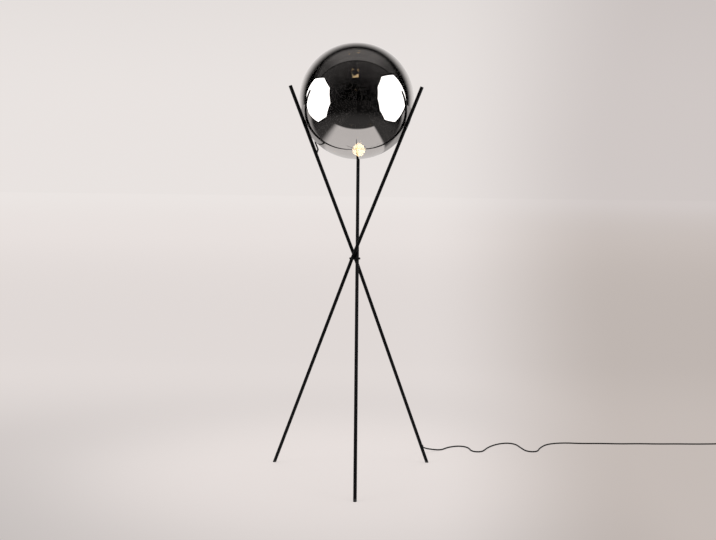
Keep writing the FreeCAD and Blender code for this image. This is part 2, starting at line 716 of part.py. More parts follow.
def stand_off():
    """Short post between the fitter cap and leg C, with the lead's entry in its side."""
    post = cylinder("post_blank", on_fitter(CAP_TOP), "post_d/2", "post_length")
    chamber = cylinder("post_chamber", on_fitter(CAP_TOP), "post_d/2 - post_wall", "post_length - post_end")
    thread = cylinder("post_thread", on_fitter(CAP_TOP), "bolt_d/2 + fit_gap", "globe_d")
    entry = facing(GLOBE + FITTER_AXIS * ENTRY, ACROSS_FITTER * -1, UP)
    neck = "lead_d/2 + collar_gap + collar_wall"
    side = cylinder("post_side_hole", entry, neck + " + fit_gap", "post_d")
    node(cut("post", post, chamber, thread, side), "globe_standoff")

    outline = [
        ("lead_d/2 + collar_gap", "post_d/2 - post_wall"),
        (neck, "post_d/2 - post_wall"),
        (neck, "post_d/2"),
        (neck + " + collar_flange", "post_d/2"),
        (neck + " + collar_flange", "post_d/2 + collar_flange"),
        ("lead_d/2 + collar_gap", "post_d/2 + collar_flange"),
    ]
    bush = turned("entry_bush", entry, outline)
    around = cylinder("entry_round", on_fitter(CAP_TOP), "post_d/2", "globe_d")
    core = cylinder("entry_core", on_fitter(CAP_TOP), "post_d/2 - post_wall", "globe_d")
    neck_bar = cylinder("entry_neck", entry, neck, "post_d")
    lead_bar = cylinder("entry_bore", entry, "lead_d/2 + collar_gap", "post_d")
    in_wall = cut("entry_in_wall", common("entry_inner", neck_bar, around), core, lead_bar)
    outside = cut("entry_outer", bush, around)
    node(fuse("entry", in_wall, outside), "standoff_grommet")


def leg_clamp():
    """Saddle, hollowed washer and bolt that hold the stand-off on leg C."""
    leg_bar_place = facing(LINES["c"]["cross"], LINES["c"]["upper"])
    leg_bar = cylinder("clamp_leg", leg_bar_place, "rod_d/2 + fit_gap", "upper_run")
    saddle = cylinder("saddle_blank", on_fitter(POST_TOP), "saddle_d/2", "saddle_web + saddle_wrap")
    saddle_hole = cylinder("saddle_hole", on_fitter(POST_TOP), "bolt_d/2 + fit_gap", "rod_d")
    node(cut("saddle", saddle, leg_bar, saddle_hole), "leg_saddle")

    head_at = LEG_C_AWAY + size("rod_d/2 + washer_web")
    washer_start = on_fitter(head_at - size("washer_web + washer_wrap"))
    washer = cylinder("washer_blank", washer_start, "washer_d/2", "washer_web + washer_wrap")
    leg_bar_again = cylinder("washer_leg", leg_bar_place, "rod_d/2 + fit_gap", "upper_run")
    washer_hole = cylinder("washer_hole", on_fitter(LEG_C_AWAY), "bolt_d/2 + fit_gap", "2*rod_d")
    node(cut("washer", washer, leg_bar_again, washer_hole), "bolt_washer")

    shank_length = "bolt_bite + saddle_web + rod_d + washer_web + bolt_head/2"
    shank = cylinder("bolt_shank", on_fitter(POST_TOP - size("bolt_bite")), "bolt_d/2", shank_length)
    head = cylinder("bolt_cap", on_fitter(head_at), "bolt_head_d/2", "bolt_head")
    key = hexagon("bolt_socket", on_fitter(head_at + size("bolt_head/2")), "bolt_key", "bolt_head")
    node(cut("bolt", fuse("bolt_blank", shank, head), key), "globe_bolt")


# ---------------------------------------------------------------- stem, lampholder and bulb
def stem():
    """Bent pipe from the lock nut to the lampholder."""
    end = HOLDER_BACK + BULB_AXIS * size("holder_wall")
    points = [GLOBE + FITTER_AXIS * STEM_TOP, STEM_CORNER, end]
    edges, _bends = rounded_path(points, {1: size("stem_bend")})
    pipe = tube_shape(edges, size("stem_d/2"), size("nipple_d/2 + fit_gap"))
    shaped("lamp_stem", pipe)


def lampholder():
    """Back cup, front sleeve, ceramic core and brass screw socket."""
    outer = "holder_d/2"
    inner = "holder_d/2 - holder_wall"
    cup = [
        ("stem_d/2 + fit_gap", "0"),
        (outer + " - edge_break", "0"),
        (outer, "edge_break"),
        (outer, "holder_cup"),
        (inner, "holder_cup"),
        (inner, "holder_wall"),
        ("stem_d/2 + fit_gap", "holder_wall"),
    ]
    node(turned("cup", in_holder(0), cup), "holder_cup")
    sleeve = [
        (inner, "0"),
        (outer, "0"),
        (outer, "holder_sleeve - edge_break"),
        (outer + " - edge_break", "holder_sleeve"),
        ("screw_d/2 + 2*socket_wall + rest_gap", "holder_sleeve"),
        ("screw_d/2 + 2*socket_wall + rest_gap", "holder_sleeve - holder_wall"),
        (inner, "holder_sleeve - holder_wall"),
    ]
    node(turned("sleeve", in_holder(size("holder_cup")), sleeve), "holder_sleeve")
    core = cylinder("core_blank", in_holder(CORE_AT), inner + " - fit_gap", "holder_core")
    wire_holes = []
    for side in (-1, 1):
        place = in_holder(CORE_AT)
        place.Base = place.Base + place.Rotation.multVec(Vector(side * size("holder_d/4"), 0, 0))
        wire_holes.append(cylinder("core_hole_%d" % (side + 1), place, "holder_wall", "holder_core"))
    node(cut("core", core, *wire_holes), "holder_core")
    socket = [
        ("0", "0"),
        ("screw_d/2 + 2*socket_wall", "0"),
        ("screw_d/2 + 2*socket_wall", "screw_length"),
        ("screw_d/2 + socket_wall", "screw_length"),
        ("screw_d/2 + socket_wall", "socket_wall"),
        ("0", "socket_wall"),
    ]
    node(turned("socket", in_holder(CORE_AT + size("holder_core")), socket), "holder_socket")


def bulb():
    """Round filament lamp: screw base, glass, glass mount and four filaments."""
    base = [
        ("0", "0"),
        ("screw_d/6", "0"),
        ("screw_d/6", "socket_wall*2"),
        ("screw_d/2 - socket_wall", "socket_wall*6"),
        ("screw_d/2", "socket_wall*6"),
        ("screw_d/2", "socket_wall*6 + screw_length"),
        ("neck_d/2", "socket_wall*6 + screw_length + edge_break"),
        ("0", "socket_wall*6 + screw_length + edge_break"),
    ]
    node(turned("base", in_holder(CONTACT_AT), base), "bulb_base")

    neck_from = CONTACT_AT + size("socket_wall*6 + screw_length + edge_break")
    shoulder = size("bulb_d/2*sin(50)")
    neck_rise = BULB_AT - shoulder - neck_from
    shells = []
    for layer, less in (("outside", "0"), ("inside", "bulb_wall")):
        ball = sphere("bulb_ball_" + layer, BULB_CENTRE, "bulb_d/2 - " + less)
        neck = doc.addObject("Part::Cone", "bulb_neck_" + layer)
        neck.setExpression("Radius1", bound("neck_d/2 - " + less))
        neck.setExpression("Radius2", bound("bulb_d/2*cos(50) - " + less))
        neck.Height = neck_rise
        neck.Placement = in_holder(neck_from)
        shells.append(fuse("bulb_" + layer, ball, neck))
    node(cut("bulb_shell", *shells), "bulb_glass")

    mount_top = BULB_AT - neck_from + size("bulb_d/2 - bulb_wall*8")
    mount = [
        ("0", "0"),
        ("neck_d/2 - bulb_wall - fit_gap", "0"),
        ("neck_d/6", "neck_d/2"),
        ("neck_d/6", "neck_d"),
        ("bulb_wall", "neck_d + bulb_wall"),
        ("bulb_wall", str(mount_top - size("bulb_wall"))),
        ("filament_d*1.5", str(mount_top - size("bulb_wall"))),
        ("filament_d*1.5", str(mount_top)),
        ("0", str(mount_top)),
    ]
    middle = turned("mount_middle", in_holder(neck_from), mount)
    place = in_holder(neck_from)
    arms = []
    filaments = []
    for index in range(FILAMENTS):
        angle = 2 * math.pi * (index + 0.5) / FILAMENTS
        outward = Vector(math.cos(angle), math.sin(angle), 0)
        root = UP * size("neck_d*0.75")
        knee = outward * size("bulb_d/5") + UP * size("neck_d*1.15")
        top = outward * size("filament_d") + UP * (mount_top - size("bulb_wall"))
        knee_w, root_w, top_w = (place.multVec(point) for point in (knee, root, top))
        arm = doc.addObject("Part::Cylinder", "arm_%d" % index)
        arm.setExpression("Radius", bound("bulb_wall/2"))
        arm.Height = (knee_w - root_w).Length
        arm.Placement = facing(root_w, knee_w - root_w, UP)
        arms.append(arm)
        stick = doc.addObject("Part::Cylinder", "stick_%d" % index)
        stick.setExpression("Radius", bound("filament_d/2"))
        stick.Height = (top_w - knee_w).Length - size("filament_d")
        stick.Placement = facing(knee_w + unit(top_w - knee_w) * size("filament_d/2"), top_w - knee_w, UP)
        filaments.append(stick)
    node(fuse("mount", middle, *arms), "bulb_mount")
    node(group("filament_set", *filaments), "bulb_filaments")


# ---------------------------------------------------------------- lead inside the lamp
def collar(name, label, centre, direction, line, along, reach):
    """Tapered rubber collar on leg A that the lead passes through, fitted to the round of the tube."""
    place = facing(centre, direction, UP)
    neck = "lead_d/2 + collar_gap + collar_wall"
    start = facing(centre + direction * size("rod_d/4"), direction, UP)
    taper = cone(name + "_taper", start, "relief_root/2", "relief_tip/2", "rod_d/4 + " + reach)
    around = cylinder(name + "_around", facing(centre - line[along] * size("3*rod_d"), line[along]),
                      "rod_d/2 + fit_gap", "6*rod_d")
    core = cylinder(name + "_core", facing(centre - line[along] * size("3*rod_d"), line[along]),
                    "rod_d/2 - rod_wall", "6*rod_d")
    in_wall = cylinder(name + "_in_wall", place, neck, "rod_d")
    bore = cylinder(name + "_bore", place, "lead_d/2 + collar_gap", "6*rod_d")
    outside = cut(name + "_outside", taper, around)
    inside = cut(name + "_inside", in_wall, core)
    node(cut(name, fuse(name + "_blank", outside, inside), bore), label)


def lamp_lead():
    """The lead, whole, from the cord outlet up leg A, round the globe and down the stem."""
    entry = GLOBE + FITTER_AXIS * ENTRY
    before_entry = entry - ACROSS_FITTER * size("post_d*1.5")
    end = HOLDER_BACK + BULB_AXIS * (CORE_AT - size("rest_gap"))
    in_leg = [OUTLET_TIP, OUTLET, LEG_A["knee"], EXIT, EXIT + EXIT_WAY * size("exit_first")]
    points = in_leg + BEHIND_GLOBE + [before_entry, entry, STEM_CORNER, end]
    exit_corner = points.index(EXIT)
    entry_corner = points.index(entry)
    radii = {
        points.index(OUTLET): size("outlet_bend"),
        points.index(LEG_A["knee"]): size("joiner_reach*2"),
        exit_corner: size("exit_bend"),
        entry_corner: size("entry_bend"),
        points.index(STEM_CORNER): size("stem_bend"),
    }
    edges = cord("lamp_lead", points, radii)
    behind = edges[2 * exit_corner:2 * entry_corner - 1]
    nearest = min((point - GLOBE).Length for edge in behind for point in edge.discretize(24))
    print("  lead to globe, least gap %.2f mm" % (nearest - size("globe_d/2 + lead_d/2")))


# ---------------------------------------------------------------- foot switch on the cord
SWITCH = Placement(Vector(size("switch_x"), size("switch_y"), 0), Rotation())


def in_switch(across, side, height, direction=UP):
    """Placement in the switch's own frame."""
    return facing(SWITCH.multVec(Vector(across, side, height)), direction, ALONG_X if direction == UP else UP)


def oblong(name, inset, bottom, top):
    """Round-ended block of the switch's outline, set in by inset."""
    half = "switch_width/2 - (%s)" % inset
    tall = "(%s) - (%s)" % (top, bottom)
    level = size(bottom)
    end = size("switch_straight/2")
    middle = block(name + "_middle", in_switch(0, 0, level), "switch_straight", "2*(%s)" % half, tall)
    left = cylinder(name + "_left", in_switch(-end, 0, level), half, tall)
    right = cylinder(name + "_right", in_switch(end, 0, level), half, tall)
    return fuse(name, middle, left, right)


def switch_case():
    """Base, and a cover with rocker lugs and screw posts."""
    entries = []
    for layer in ("base", "cover"):
        entries.append(cylinder("entry_hole_" + layer, in_switch(-size("switch_straight + switch_width"), 0,
                       size("switch_entry"), ALONG_X), "relief_tip/2 + fit_gap",
                       "2*(switch_straight + switch_width)"))
    spots = [(sign * size("screw_hole_x"), -sign * size("screw_hole_y")) for sign in (1, -1)]

    tub = oblong("base_block", "0", "0", "switch_base_tall")
    tub_inside = oblong("base_inside", "switch_wall", "switch_wall", "switch_base_tall + 1")
    tools = [tub_inside, entries[0]]
    base = cut("base_tub", tub, *tools)
    posts = [cylinder("base_post_%d" % index, in_switch(x, y, size("switch_wall/2")), "screw_post_d/2",
                      "switch_base_tall - switch_wall/2") for index, (x, y) in enumerate(spots)]
    holes = []
    for index, (x, y) in enumerate(spots):
        holes.append(cylinder("base_screw_%d" % index, in_switch(x, y, 0), "case_screw_d/2 + fit_gap",
                              "switch_tall"))
        holes.append(cylinder("base_sink_%d" % index, in_switch(x, y, 0), "case_screw_head/2 + fit_gap",
                              "switch_wall"))
    node(cut("switch_base_shape", fuse("base_with_posts", base, *posts), *holes), "switch_base")

    shell = oblong("cover_block", "0", "switch_base_tall", "switch_tall")
    doc.recompute()
    rounded = doc.addObject("Part::Fillet", "cover_round")
    rounded.Base = shell
    top = size("switch_tall")
    radius = size("switch_round")
    rounded.Edges = [(index, radius, radius) for index, edge in enumerate(shell.Shape.Edges, start=1)
                     if edge.BoundBox.ZMin > top - 0.01]
    inside = oblong("cover_inside", "switch_wall", "switch_base_tall - 1", "switch_tall - switch_wall")
    window = block("cover_window", in_switch(0, 0, size("switch_tall - 2*switch_wall")),
                   "rocker_length + 2*window_gap + rocker_rise/4", "rocker_width + 2*side_gap", "3*switch_wall")
    cover = cut("cover_shell", rounded, inside, window, entries[1])
    lug_from = size("rocker_pivot - 1.6*pin_d")
    lug_side = size("rocker_width/2 + side_gap + lug_thick/2")
    lugs = [block("lug_%d" % (sign + 1), in_switch(0, sign * lug_side, lug_from), "4*pin_d", "lug_thick",
                  "switch_tall - switch_wall/2 - (rocker_pivot - 1.6*pin_d)") for sign in (-1, 1)]
    cover_posts = [cylinder("cover_post_%d" % index, in_switch(x, y, size("switch_base_tall")),
                            "screw_post_d/2", "switch_tall - switch_base_tall - switch_wall/2")
                   for index, (x, y) in enumerate(spots)]
    pin_hole = cylinder("lug_hole", in_switch(0, -size("switch_width/2 - 2*switch_wall"), size("rocker_pivot"),
                        Vector(0, 1, 0)), "pin_d/2 + fit_gap/2", "switch_width - 4*switch_wall")
    bites = [cylinder("cover_screw_%d" % index, in_switch(x, y, size("switch_base_tall") - 1),
                      "case_screw_d/2 + fit_gap", "(switch_tall - switch_base_tall)*0.6 + 1")
             for index, (x, y) in enumerate(spots)]
    node(cut("cover", fuse("cover_full", cover, *lugs, *cover_posts), pin_hole, *bites), "switch_cover")

    screws = []
    for index, (x, y) in enumerate(spots):
        head = cylinder("screw_head_%d" % index, in_switch(x, y, size("floor_gap*3")), "case_screw_head/2",
                        "switch_wall - floor_gap*3")
        shank = cylinder("screw_shank_%d" % index, in_switch(x, y, size("floor_gap*3")), "case_screw_d/2",
                         "switch_base_tall + (switch_tall - switch_base_tall)*0.5")
        slot = block("screw_slot_%d" % index, in_switch(x, y, 0), "case_screw_head*2", "case_screw_d/4",
                     "floor_gap*3 + case_screw_d/4")
        screws.append(cut("case_screw_%d" % index, fuse("screw_blank_%d" % index, head, shank), slot))
    node(group("case_screws", *screws), "switch_screws")


def rocker():
    """Dished rocker on its pin, resting with one end pressed down."""
    half = "rocker_length/2"
    outline = [
        ("-(%s) + edge_break*2" % half, "rocker_drop - rocker_rise/2"),
        ("-(rocker_length/5)", "-rocker_drop"),
        ("rocker_length/5", "-rocker_drop"),
        (half + " - edge_break*2", "rocker_drop - rocker_rise/2"),
        (half, "rocker_rise - edge_break"),
        (half + " - edge_break", "rocker_rise"),
        ("rocker_length/6", "rocker_rise - rocker_dish"),
        ("-(rocker_length/6)", "rocker_rise - rocker_dish"),
        ("-(%s) + edge_break" % half, "rocker_rise"),
        ("-(%s)" % half, "rocker_rise - edge_break"),
    ]
    pivot = SWITCH.multVec(Vector(0, 0, size("rocker_pivot")))
    tilt = Rotation(Vector(0, 1, 0), size("rocker_tilt"))
    body = padded("rocker_body", Placement(pivot, tilt), outline, "rocker_width", "XZ_Plane", True)
    bore_from = pivot - Vector(0, size("rocker_width"), 0)
    bore = cylinder("rocker_bore", facing(bore_from, Vector(0, 1, 0), UP), "pin_d/2 + pin_gap", "2*rocker_width")
    node(cut("rocker", body, bore), "switch_rocker")
    pin_half = "rocker_width/2 + side_gap + lug_thick"
    pin_from = pivot - Vector(0, size(pin_half), 0)
    node(cylinder("pin", facing(pin_from, Vector(0, 1, 0), UP), "pin_d/2", "2*(%s)" % pin_half), "rocker_pin")


def switch_inside():
    """Brass terminals on the base, under the rocker's ends."""
    terminals = []
    top = "rocker_pivot - rocker_drop - rocker_rise/2"
    for sign in (-1, 1):
        place = in_switch(sign * size("rocker_length/2"), 0, size("switch_wall"))
        body = block("terminal_%d" % (sign + 1), place, "rocker_length/4", "rocker_width/2",
                     "(%s) - switch_wall" % top)
        hole = cylinder("terminal_hole_%d" % (sign + 1),
                        in_switch(-size("switch_straight/2 + 1"), 0, size("switch_entry - 2"), ALONG_X),
                        "case_screw_d/2", "switch_straight + 2")
        terminals.append(cut("terminal_cut_%d" % (sign + 1), body, hole))
    node(group("terminals", *terminals), "switch_terminals")
    ends = []
    for sign, label in ((-1, "switch_relief_in"), (1, "switch_relief_out")):
        way = ALONG_X * sign
        root = in_switch(sign * size("switch_straight/2 + switch_width/2"), 0, size("switch_entry"), way)
        taper = cone(label + "_taper", root, "relief_root/2", "relief_tip/2", "switch_relief")
        neck_place = in_switch(sign * size("switch_straight/2 + switch_width/2 - 2*switch_wall"), 0,
                               size("switch_entry"), way)
        neck = cylinder(label + "_neck", neck_place, "relief_tip/2", "3*switch_wall")
        around = oblong(label + "_around", "0", "0", "switch_tall")
        outside = cut(label + "_outside", taper, around)
        node(fuse(label + "_whole", outside, neck), label)
        ends.append(root.Base + way * size("switch_relief"))
    return ends


# ---------------------------------------------------------------- coil, tie and plug
def biarc(start, start_way, end, end_way):
    """Two arcs that leave start along start_way and reach end along end_way, tangent where they meet."""
    span = end - start
    both = start_way + end_way
    along = span.dot(both)
    bend = 2 * (start_way.dot(end_way) - 1)
    if abs(bend) < 1e-9:
        reach = span.dot(span) / (2 * along)
    else:
        reach = (along - math.sqrt(along * along - bend * span.dot(span))) / bend
    middle = (start + start_way * reach + end - end_way * reach) * 0.5
    arcs = []
    for first, corner, last in (
        (start, start + start_way * reach, middle),
        (middle, end - end_way * reach, end),
    ):
        chord_middle = (first + last) * 0.5
        rise = corner - chord_middle
        half_chord = (first - chord_middle).Length
        half_turn = math.atan2(rise.Length, half_chord)
        arcs.append(Part.Arc(first, chord_middle + unit(rise) * (half_chord * math.tan(half_turn / 2)),
                             last).toShape())
    return arcs


def coil_point(turned_by):
    """Middle line of the coil: in at a steady rate, up a layer where it reverses, and out again."""
    middle = COIL_TURNS * math.pi
    away = turned_by - middle
    radius = size("coil_inner") + size("coil_pitch") * abs(away) / (2 * math.pi)
    climb = min(max(away / math.pi + 0.5, 0), 1)
    low = size("lead_d/2 + tie_thick + tie_gap + floor_gap")
    return Vector(
        size("coil_x") + radius * math.cos(turned_by),
        size("coil_y") - radius * math.sin(turned_by),
        low + size("coil_pitch") * climb,
    )


def coil_way(turned_by):
    step = 0.01
    return unit(coil_point(turned_by + step) - coil_point(turned_by - step))


def least_gap(points):
    """Smallest space between stretches of a cord that aren't neighbours along it."""
    apart = 8
    best = None
    for index, point in enumerate(points):
        for other in points[index + apart:]:
            distance = (other - point).Length
            if best is None or distance < best:
                best = distance
    return best - size("lead_d")


def coil():
    """The put-away length, wound in two layers, with its tie; returns its start and end."""
    knots = [index * math.pi / 2 for index in range(4 * COIL_TURNS + 1)]
    ends = {knots[0]: Vector(0, -1, 0), knots[-1]: Vector(0, -1, 0)}
    ways = [ends.get(knot) or coil_way(knot) for knot in knots]
    places = [coil_point(knot) for knot in knots]
    straight = size("lead_d")
    start = places[0] - ways[0] * straight
    end = places[-1] + ways[-1] * straight
    edges = [Part.LineSegment(start, places[0]).toShape()]
    for index in range(len(knots) - 1):
        edges += biarc(places[index], ways[index], places[index + 1], ways[index + 1])
    edges.append(Part.LineSegment(places[-1], end).toShape())
    shape = tube_shape(edges, size("lead_d/2"))
    length = path_length(edges)
    samples = [point for edge in edges for point in edge.discretize(Distance=3.0)[:-1]]
    print("mains_cord_coil: %.0f mm, %d turns, least gap to itself %.2f mm, volume/expected %.4f"
          % (length, COIL_TURNS, least_gap(samples), shape.Volume / (math.pi * size("lead_d/2") ** 2 * length)))
    shaped("mains_cord_coil", shape)

    inner_edge = "sqrt((coil_inner - lead_d/2)^2 - (tie_width/2)^2) - tie_gap"
    outer_edge = "coil_inner + coil_pitch*%d + lead_d/2 + tie_gap" % (COIL_TURNS // 2)
    wide = "(%s) - (%s)" % (outer_edge, inner_edge)
    tall = "coil_pitch + lead_d + 2*tie_gap"
    middle = (size(inner_edge) + size(outer_edge)) / 2
    at = Vector(size("coil_x") - middle, size("coil_y"), size("floor_gap"))
    band = block("tie_band", Placement(at, Rotation()), wide + " + 2*tie_thick", "tie_width",
                 tall + " + 2*tie_thick")
    hole_at = at + UP * size("tie_thick")
    hole = block("tie_hole", Placement(hole_at, Rotation()), wide, "2*tie_width", tall)
    node(cut("tie", band, hole), "coil_tie")
    return start, end


def plug():
    """Flat two-pin plug lying on the floor, with its strain relief; returns the relief's tip."""
    place = Placement(Vector(size("plug_x"), size("plug_y"), size("floor_gap")), Rotation())
    outline = [
        ("0", "-(plug_wide/2 - plug_wide/9)"),
        ("plug_wide/9", "-(plug_wide/2)"),
        ("plug_long*0.5", "-(plug_wide/2)"),
        ("plug_long*0.86", "-(plug_neck/2 + plug_wide/12)"),
        ("plug_long", "-(plug_neck/2)"),
        ("plug_long", "plug_neck/2"),
        ("plug_long*0.86", "plug_neck/2 + plug_wide/12"),
        ("plug_long*0.5", "plug_wide/2"),
        ("plug_wide/9", "plug_wide/2"),
        ("0", "plug_wide/2 - plug_wide/9"),
    ]
    blank = padded("plug_blank", place, outline, "plug_tall")
    middle = size("plug_tall/2")
    prongs = []
    holes = []
    for sign in (-1, 1):
        side = sign * size("prong_pitch/2")
        tip = facing(place.multVec(Vector(-size("prong_length"), side, middle)), ALONG_X, UP)
        outline = [
            ("0", "0"),
            ("prong_d/2 - edge_break*2", "0"),
            ("prong_d/2", "edge_break*2"),
            ("prong_d/2", "prong_length + prong_root"),
            ("0", "prong_length + prong_root"),
        ]
        prongs.append(turned("prong_%d" % (sign + 1), tip, outline))
        mouth = facing(place.multVec(Vector(0, side, middle)), ALONG_X, UP)
        holes.append(cylinder("prong_hole_%d" % (sign + 1), mouth, "prong_d/2 + fit_gap", "prong_root"))
    node(cut("plug", blank, *holes), "plug_body")
    node(group("prongs", *prongs), "plug_pins")
    root = facing(place.multVec(Vector(size("plug_long"), 0, middle)), ALONG_X, UP)
    node(cone("plug_taper", root, "relief_root/2", "relief_tip/2", "plug_relief"), "plug_relief")
    return root.Base + ALONG_X * size("plug_relief")


# ---------------------------------------------------------------- building
def build():
    for letter, line in LINES.items():
        leg_tubes(letter, line)
        joiner(letter, line)
        foot_tip(letter, line)
        top_plug(letter, line)
    hub()
    pads()
    globe()
    fitter()
    stand_off()
    leg_clamp()
    stem()
    lampholder()
    bulb()
    collar("cord_relief", "cord_strain_relief", OUTLET, OUTLET_WAY, LEG_A, "lower", "relief_length")
    collar("lead_collar", "lead_grommet", EXIT, EXIT_WAY, LEG_A, "upper", "exit_length")
    lamp_lead()
    switch_case()
    rocker()
    switch_in, switch_out = switch_inside()
    coil_start, coil_end = coil()
    plug_tip = plug()
    first = OUTLET_TIP + OUTLET_WAY * size("cord_first")
    cord("mains_cord_run", [OUTLET_TIP, first] + [Vector(*point) for point in CORD_RUN] + [switch_in])
    cord("mains_cord_link", [switch_out] + [Vector(*point) for point in CORD_LINK] + [coil_start])
    cord("mains_cord_tail", [coil_end] + [Vector(*point) for point in CORD_TAIL] + [plug_tip])


def check():
    """Stops with a message if any object failed or any sub-part's shape is bad."""
    doc.recompute()
    for made in doc.Objects:
        if "Invalid" in made.State or "Error" in made.State:
            raise RuntimeError("%s is %s" % (made.Name, made.State))
    for made in NODES:
        if made.Shape.isNull() or not made.Shape.isValid() or not made.Shape.Solids:
            raise RuntimeError("%s has no sound shape" % made.Label)
    labels = [made.Label for made in NODES]
    if len(set(labels)) != len(labels):
        raise RuntimeError("two sub-parts share a name")


def write():
    os.makedirs("parts", exist_ok=True)
    for made in NODES:
        made.Shape.exportStep("parts/%s.step" % made.Label)
    print("%d sub-parts written" % len(NODES))


build()
check()
write()
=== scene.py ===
# %% [markdown]
# # A globe floor lamp
# The lamp is a large ball of smoked mirror glass that leans in the fork of three thin black legs.
# Its metal, rubber and plastic pieces come ready-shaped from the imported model, so most of this lesson
# is about finishes: black paint, mirror glass that still lets a bulb shine through, and a mains cord
# that lies on the floor.

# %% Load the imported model
import json
import math

import bmesh
import bpy
from mathutils import Matrix, Vector


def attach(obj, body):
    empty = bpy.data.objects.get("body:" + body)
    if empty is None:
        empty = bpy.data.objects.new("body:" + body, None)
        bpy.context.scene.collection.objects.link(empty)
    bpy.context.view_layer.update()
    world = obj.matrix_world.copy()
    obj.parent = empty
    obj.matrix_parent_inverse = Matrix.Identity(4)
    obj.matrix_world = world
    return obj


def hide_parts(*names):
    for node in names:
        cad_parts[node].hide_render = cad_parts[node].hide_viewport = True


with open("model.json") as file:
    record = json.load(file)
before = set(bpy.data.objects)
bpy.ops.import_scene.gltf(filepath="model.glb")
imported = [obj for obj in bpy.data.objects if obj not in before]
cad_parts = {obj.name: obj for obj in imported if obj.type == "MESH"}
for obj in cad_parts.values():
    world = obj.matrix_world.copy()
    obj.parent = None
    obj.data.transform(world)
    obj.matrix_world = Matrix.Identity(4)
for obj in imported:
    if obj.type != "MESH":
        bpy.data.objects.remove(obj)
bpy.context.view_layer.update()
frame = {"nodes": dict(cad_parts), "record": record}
nodes = frame["nodes"]
scene = bpy.context.scene
UP = Vector((0, 0, 1))
MM = 0.001
LAMP = "lamp"

# %% [markdown]
# ## The camera
# A lamp in a product photograph is seen from a standing photographer's place, here at chest height
# and about four metres away. The camera's turn is written as three small angles, because they can
# be compared with the photograph one at a time: yaw moves the lamp sideways, pitch moves it up, and
# roll tips it.

# %% Place the camera
PHOTO_WIDTH = 716
FOCAL_PIXELS = 1108.2
SENSOR = 36.0
CAMERA_AT = Vector((-0.0273, -3.8979, 1.0923))
YAW, PITCH, ROLL = 0.010, 0.091, 0.013

forward = Vector((math.sin(YAW) * math.cos(PITCH), math.cos(YAW) * math.cos(PITCH), -math.sin(PITCH)))
level_right = Vector((math.cos(YAW), -math.sin(YAW), 0))
level_up = level_right.cross(forward)
right = level_right * math.cos(ROLL) + level_up * math.sin(ROLL)
above = level_up * math.cos(ROLL) - level_right * math.sin(ROLL)

camera = bpy.data.objects.new("camera", bpy.data.cameras.new("camera"))
scene.collection.objects.link(camera)
camera.data.sensor_fit = "HORIZONTAL"
camera.data.sensor_width = SENSOR
camera.data.lens = FOCAL_PIXELS / PHOTO_WIDTH * SENSOR
turn = Matrix((right, above, -forward)).transposed().to_4x4()
camera.matrix_world = Matrix.Translation(CAMERA_AT) @ turn
scene.camera = camera
scene.view_settings.view_transform = "Standard"
print("lens", round(camera.data.lens, 2), "mm")

# %% [markdown]
# ## Places on the lamp
# The glass ball rests on two legs and is clamped to the third. Its centre and the direction of the
# clamp are used by the glass, the bulb and the studio lights, so they are written once here.

# %% The globe's place and the bulb's
GLOBE = Vector((-0.929, -22.591, 1325.215)) * MM
GLOBE_RADIUS = 200 * MM
GLASS = 3 * MM
CLAMP_WAY = Vector((0.038506, 0.913222, -0.405638)).normalized()
OPENING_RADIUS = 45 * MM
BULB = Vector((9.071, -22.591, 1157.215)) * MM
BULB_WAY = Vector((0.02532, -0.77591, -0.63033)).normalized()
print("globe", [round(v, 4) for v in GLOBE])

# %% [markdown]
# ## Helpers for pieces and curves
# Every new piece ends as a mesh or a curve in the lamp's own frame. It then rides on a body and
# stands for the plain piece of the imported model.


# %% Helpers for pieces
def finish_piece(made, body, slot, *replaced):
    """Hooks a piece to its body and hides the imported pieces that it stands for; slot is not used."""
    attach(made, body)
    if replaced:
        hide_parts(*replaced)
    return made


def mesh_piece(name, form, materials, smooth_angle=35):
    """Turns a bmesh into an object, smooth except at its sharp edges."""
    mesh = bpy.data.meshes.new(name)
    form.to_mesh(mesh)
    form.free()
    for material in materials:
        mesh.materials.append(material)
    mesh.shade_smooth()
    mesh.set_sharp_from_angle(angle=math.radians(smooth_angle))
    made = bpy.data.objects.new(name, mesh)
    scene.collection.objects.link(made)
    return made


def towards(origin, direction, across=Vector((1, 0, 0))):
    """Matrix whose Z runs along direction and whose X leans towards across."""
    z_axis = direction.normalized()
    x_axis = (across - z_axis * across.dot(z_axis)).normalized()
    return Matrix.Translation(origin) @ Matrix((x_axis, z_axis.cross(x_axis), z_axis)).transposed().to_4x4()


def spun(profile, steps=64):
    """Bmesh turned about Z from (radius, height) points, in millimetres."""
    form = bmesh.new()
    line = [form.verts.new((radius * MM, 0, height * MM)) for radius, height in profile]
    edges = [form.edges.new(pair) for pair in zip(line, line[1:])]
    bmesh.ops.spin(form, geom=line + edges, cent=(0, 0, 0), axis=(0, 0, 1), angle=math.tau,
                   steps=steps, use_merge=True)
    bmesh.ops.remove_doubles(form, verts=form.verts, dist=1e-6)
    bmesh.ops.recalc_face_normals(form, faces=form.faces)
    return form


# %% [markdown]
# ## Shader groups
# Real black paint is never one flat black: it has a fine orange-peel texture, and it is a little
# worn and dusty. Small effects like these are shared by many finishes, so each is a node group that
# is built once.


# %% Build the shared node groups
def node_group(name, inputs, outputs):
    """Empty group with named sockets; returns it with its input and output nodes."""
    group = bpy.data.node_groups.new(name, "ShaderNodeTree")
    for label, kind, default in inputs:
        socket = group.interface.new_socket(label, in_out="INPUT", socket_type=kind)
        socket.default_value = default
    for label, kind in outputs:
        group.interface.new_socket(label, in_out="OUTPUT", socket_type=kind)
    return group, group.nodes.new("NodeGroupInput"), group.nodes.new("NodeGroupOutput")


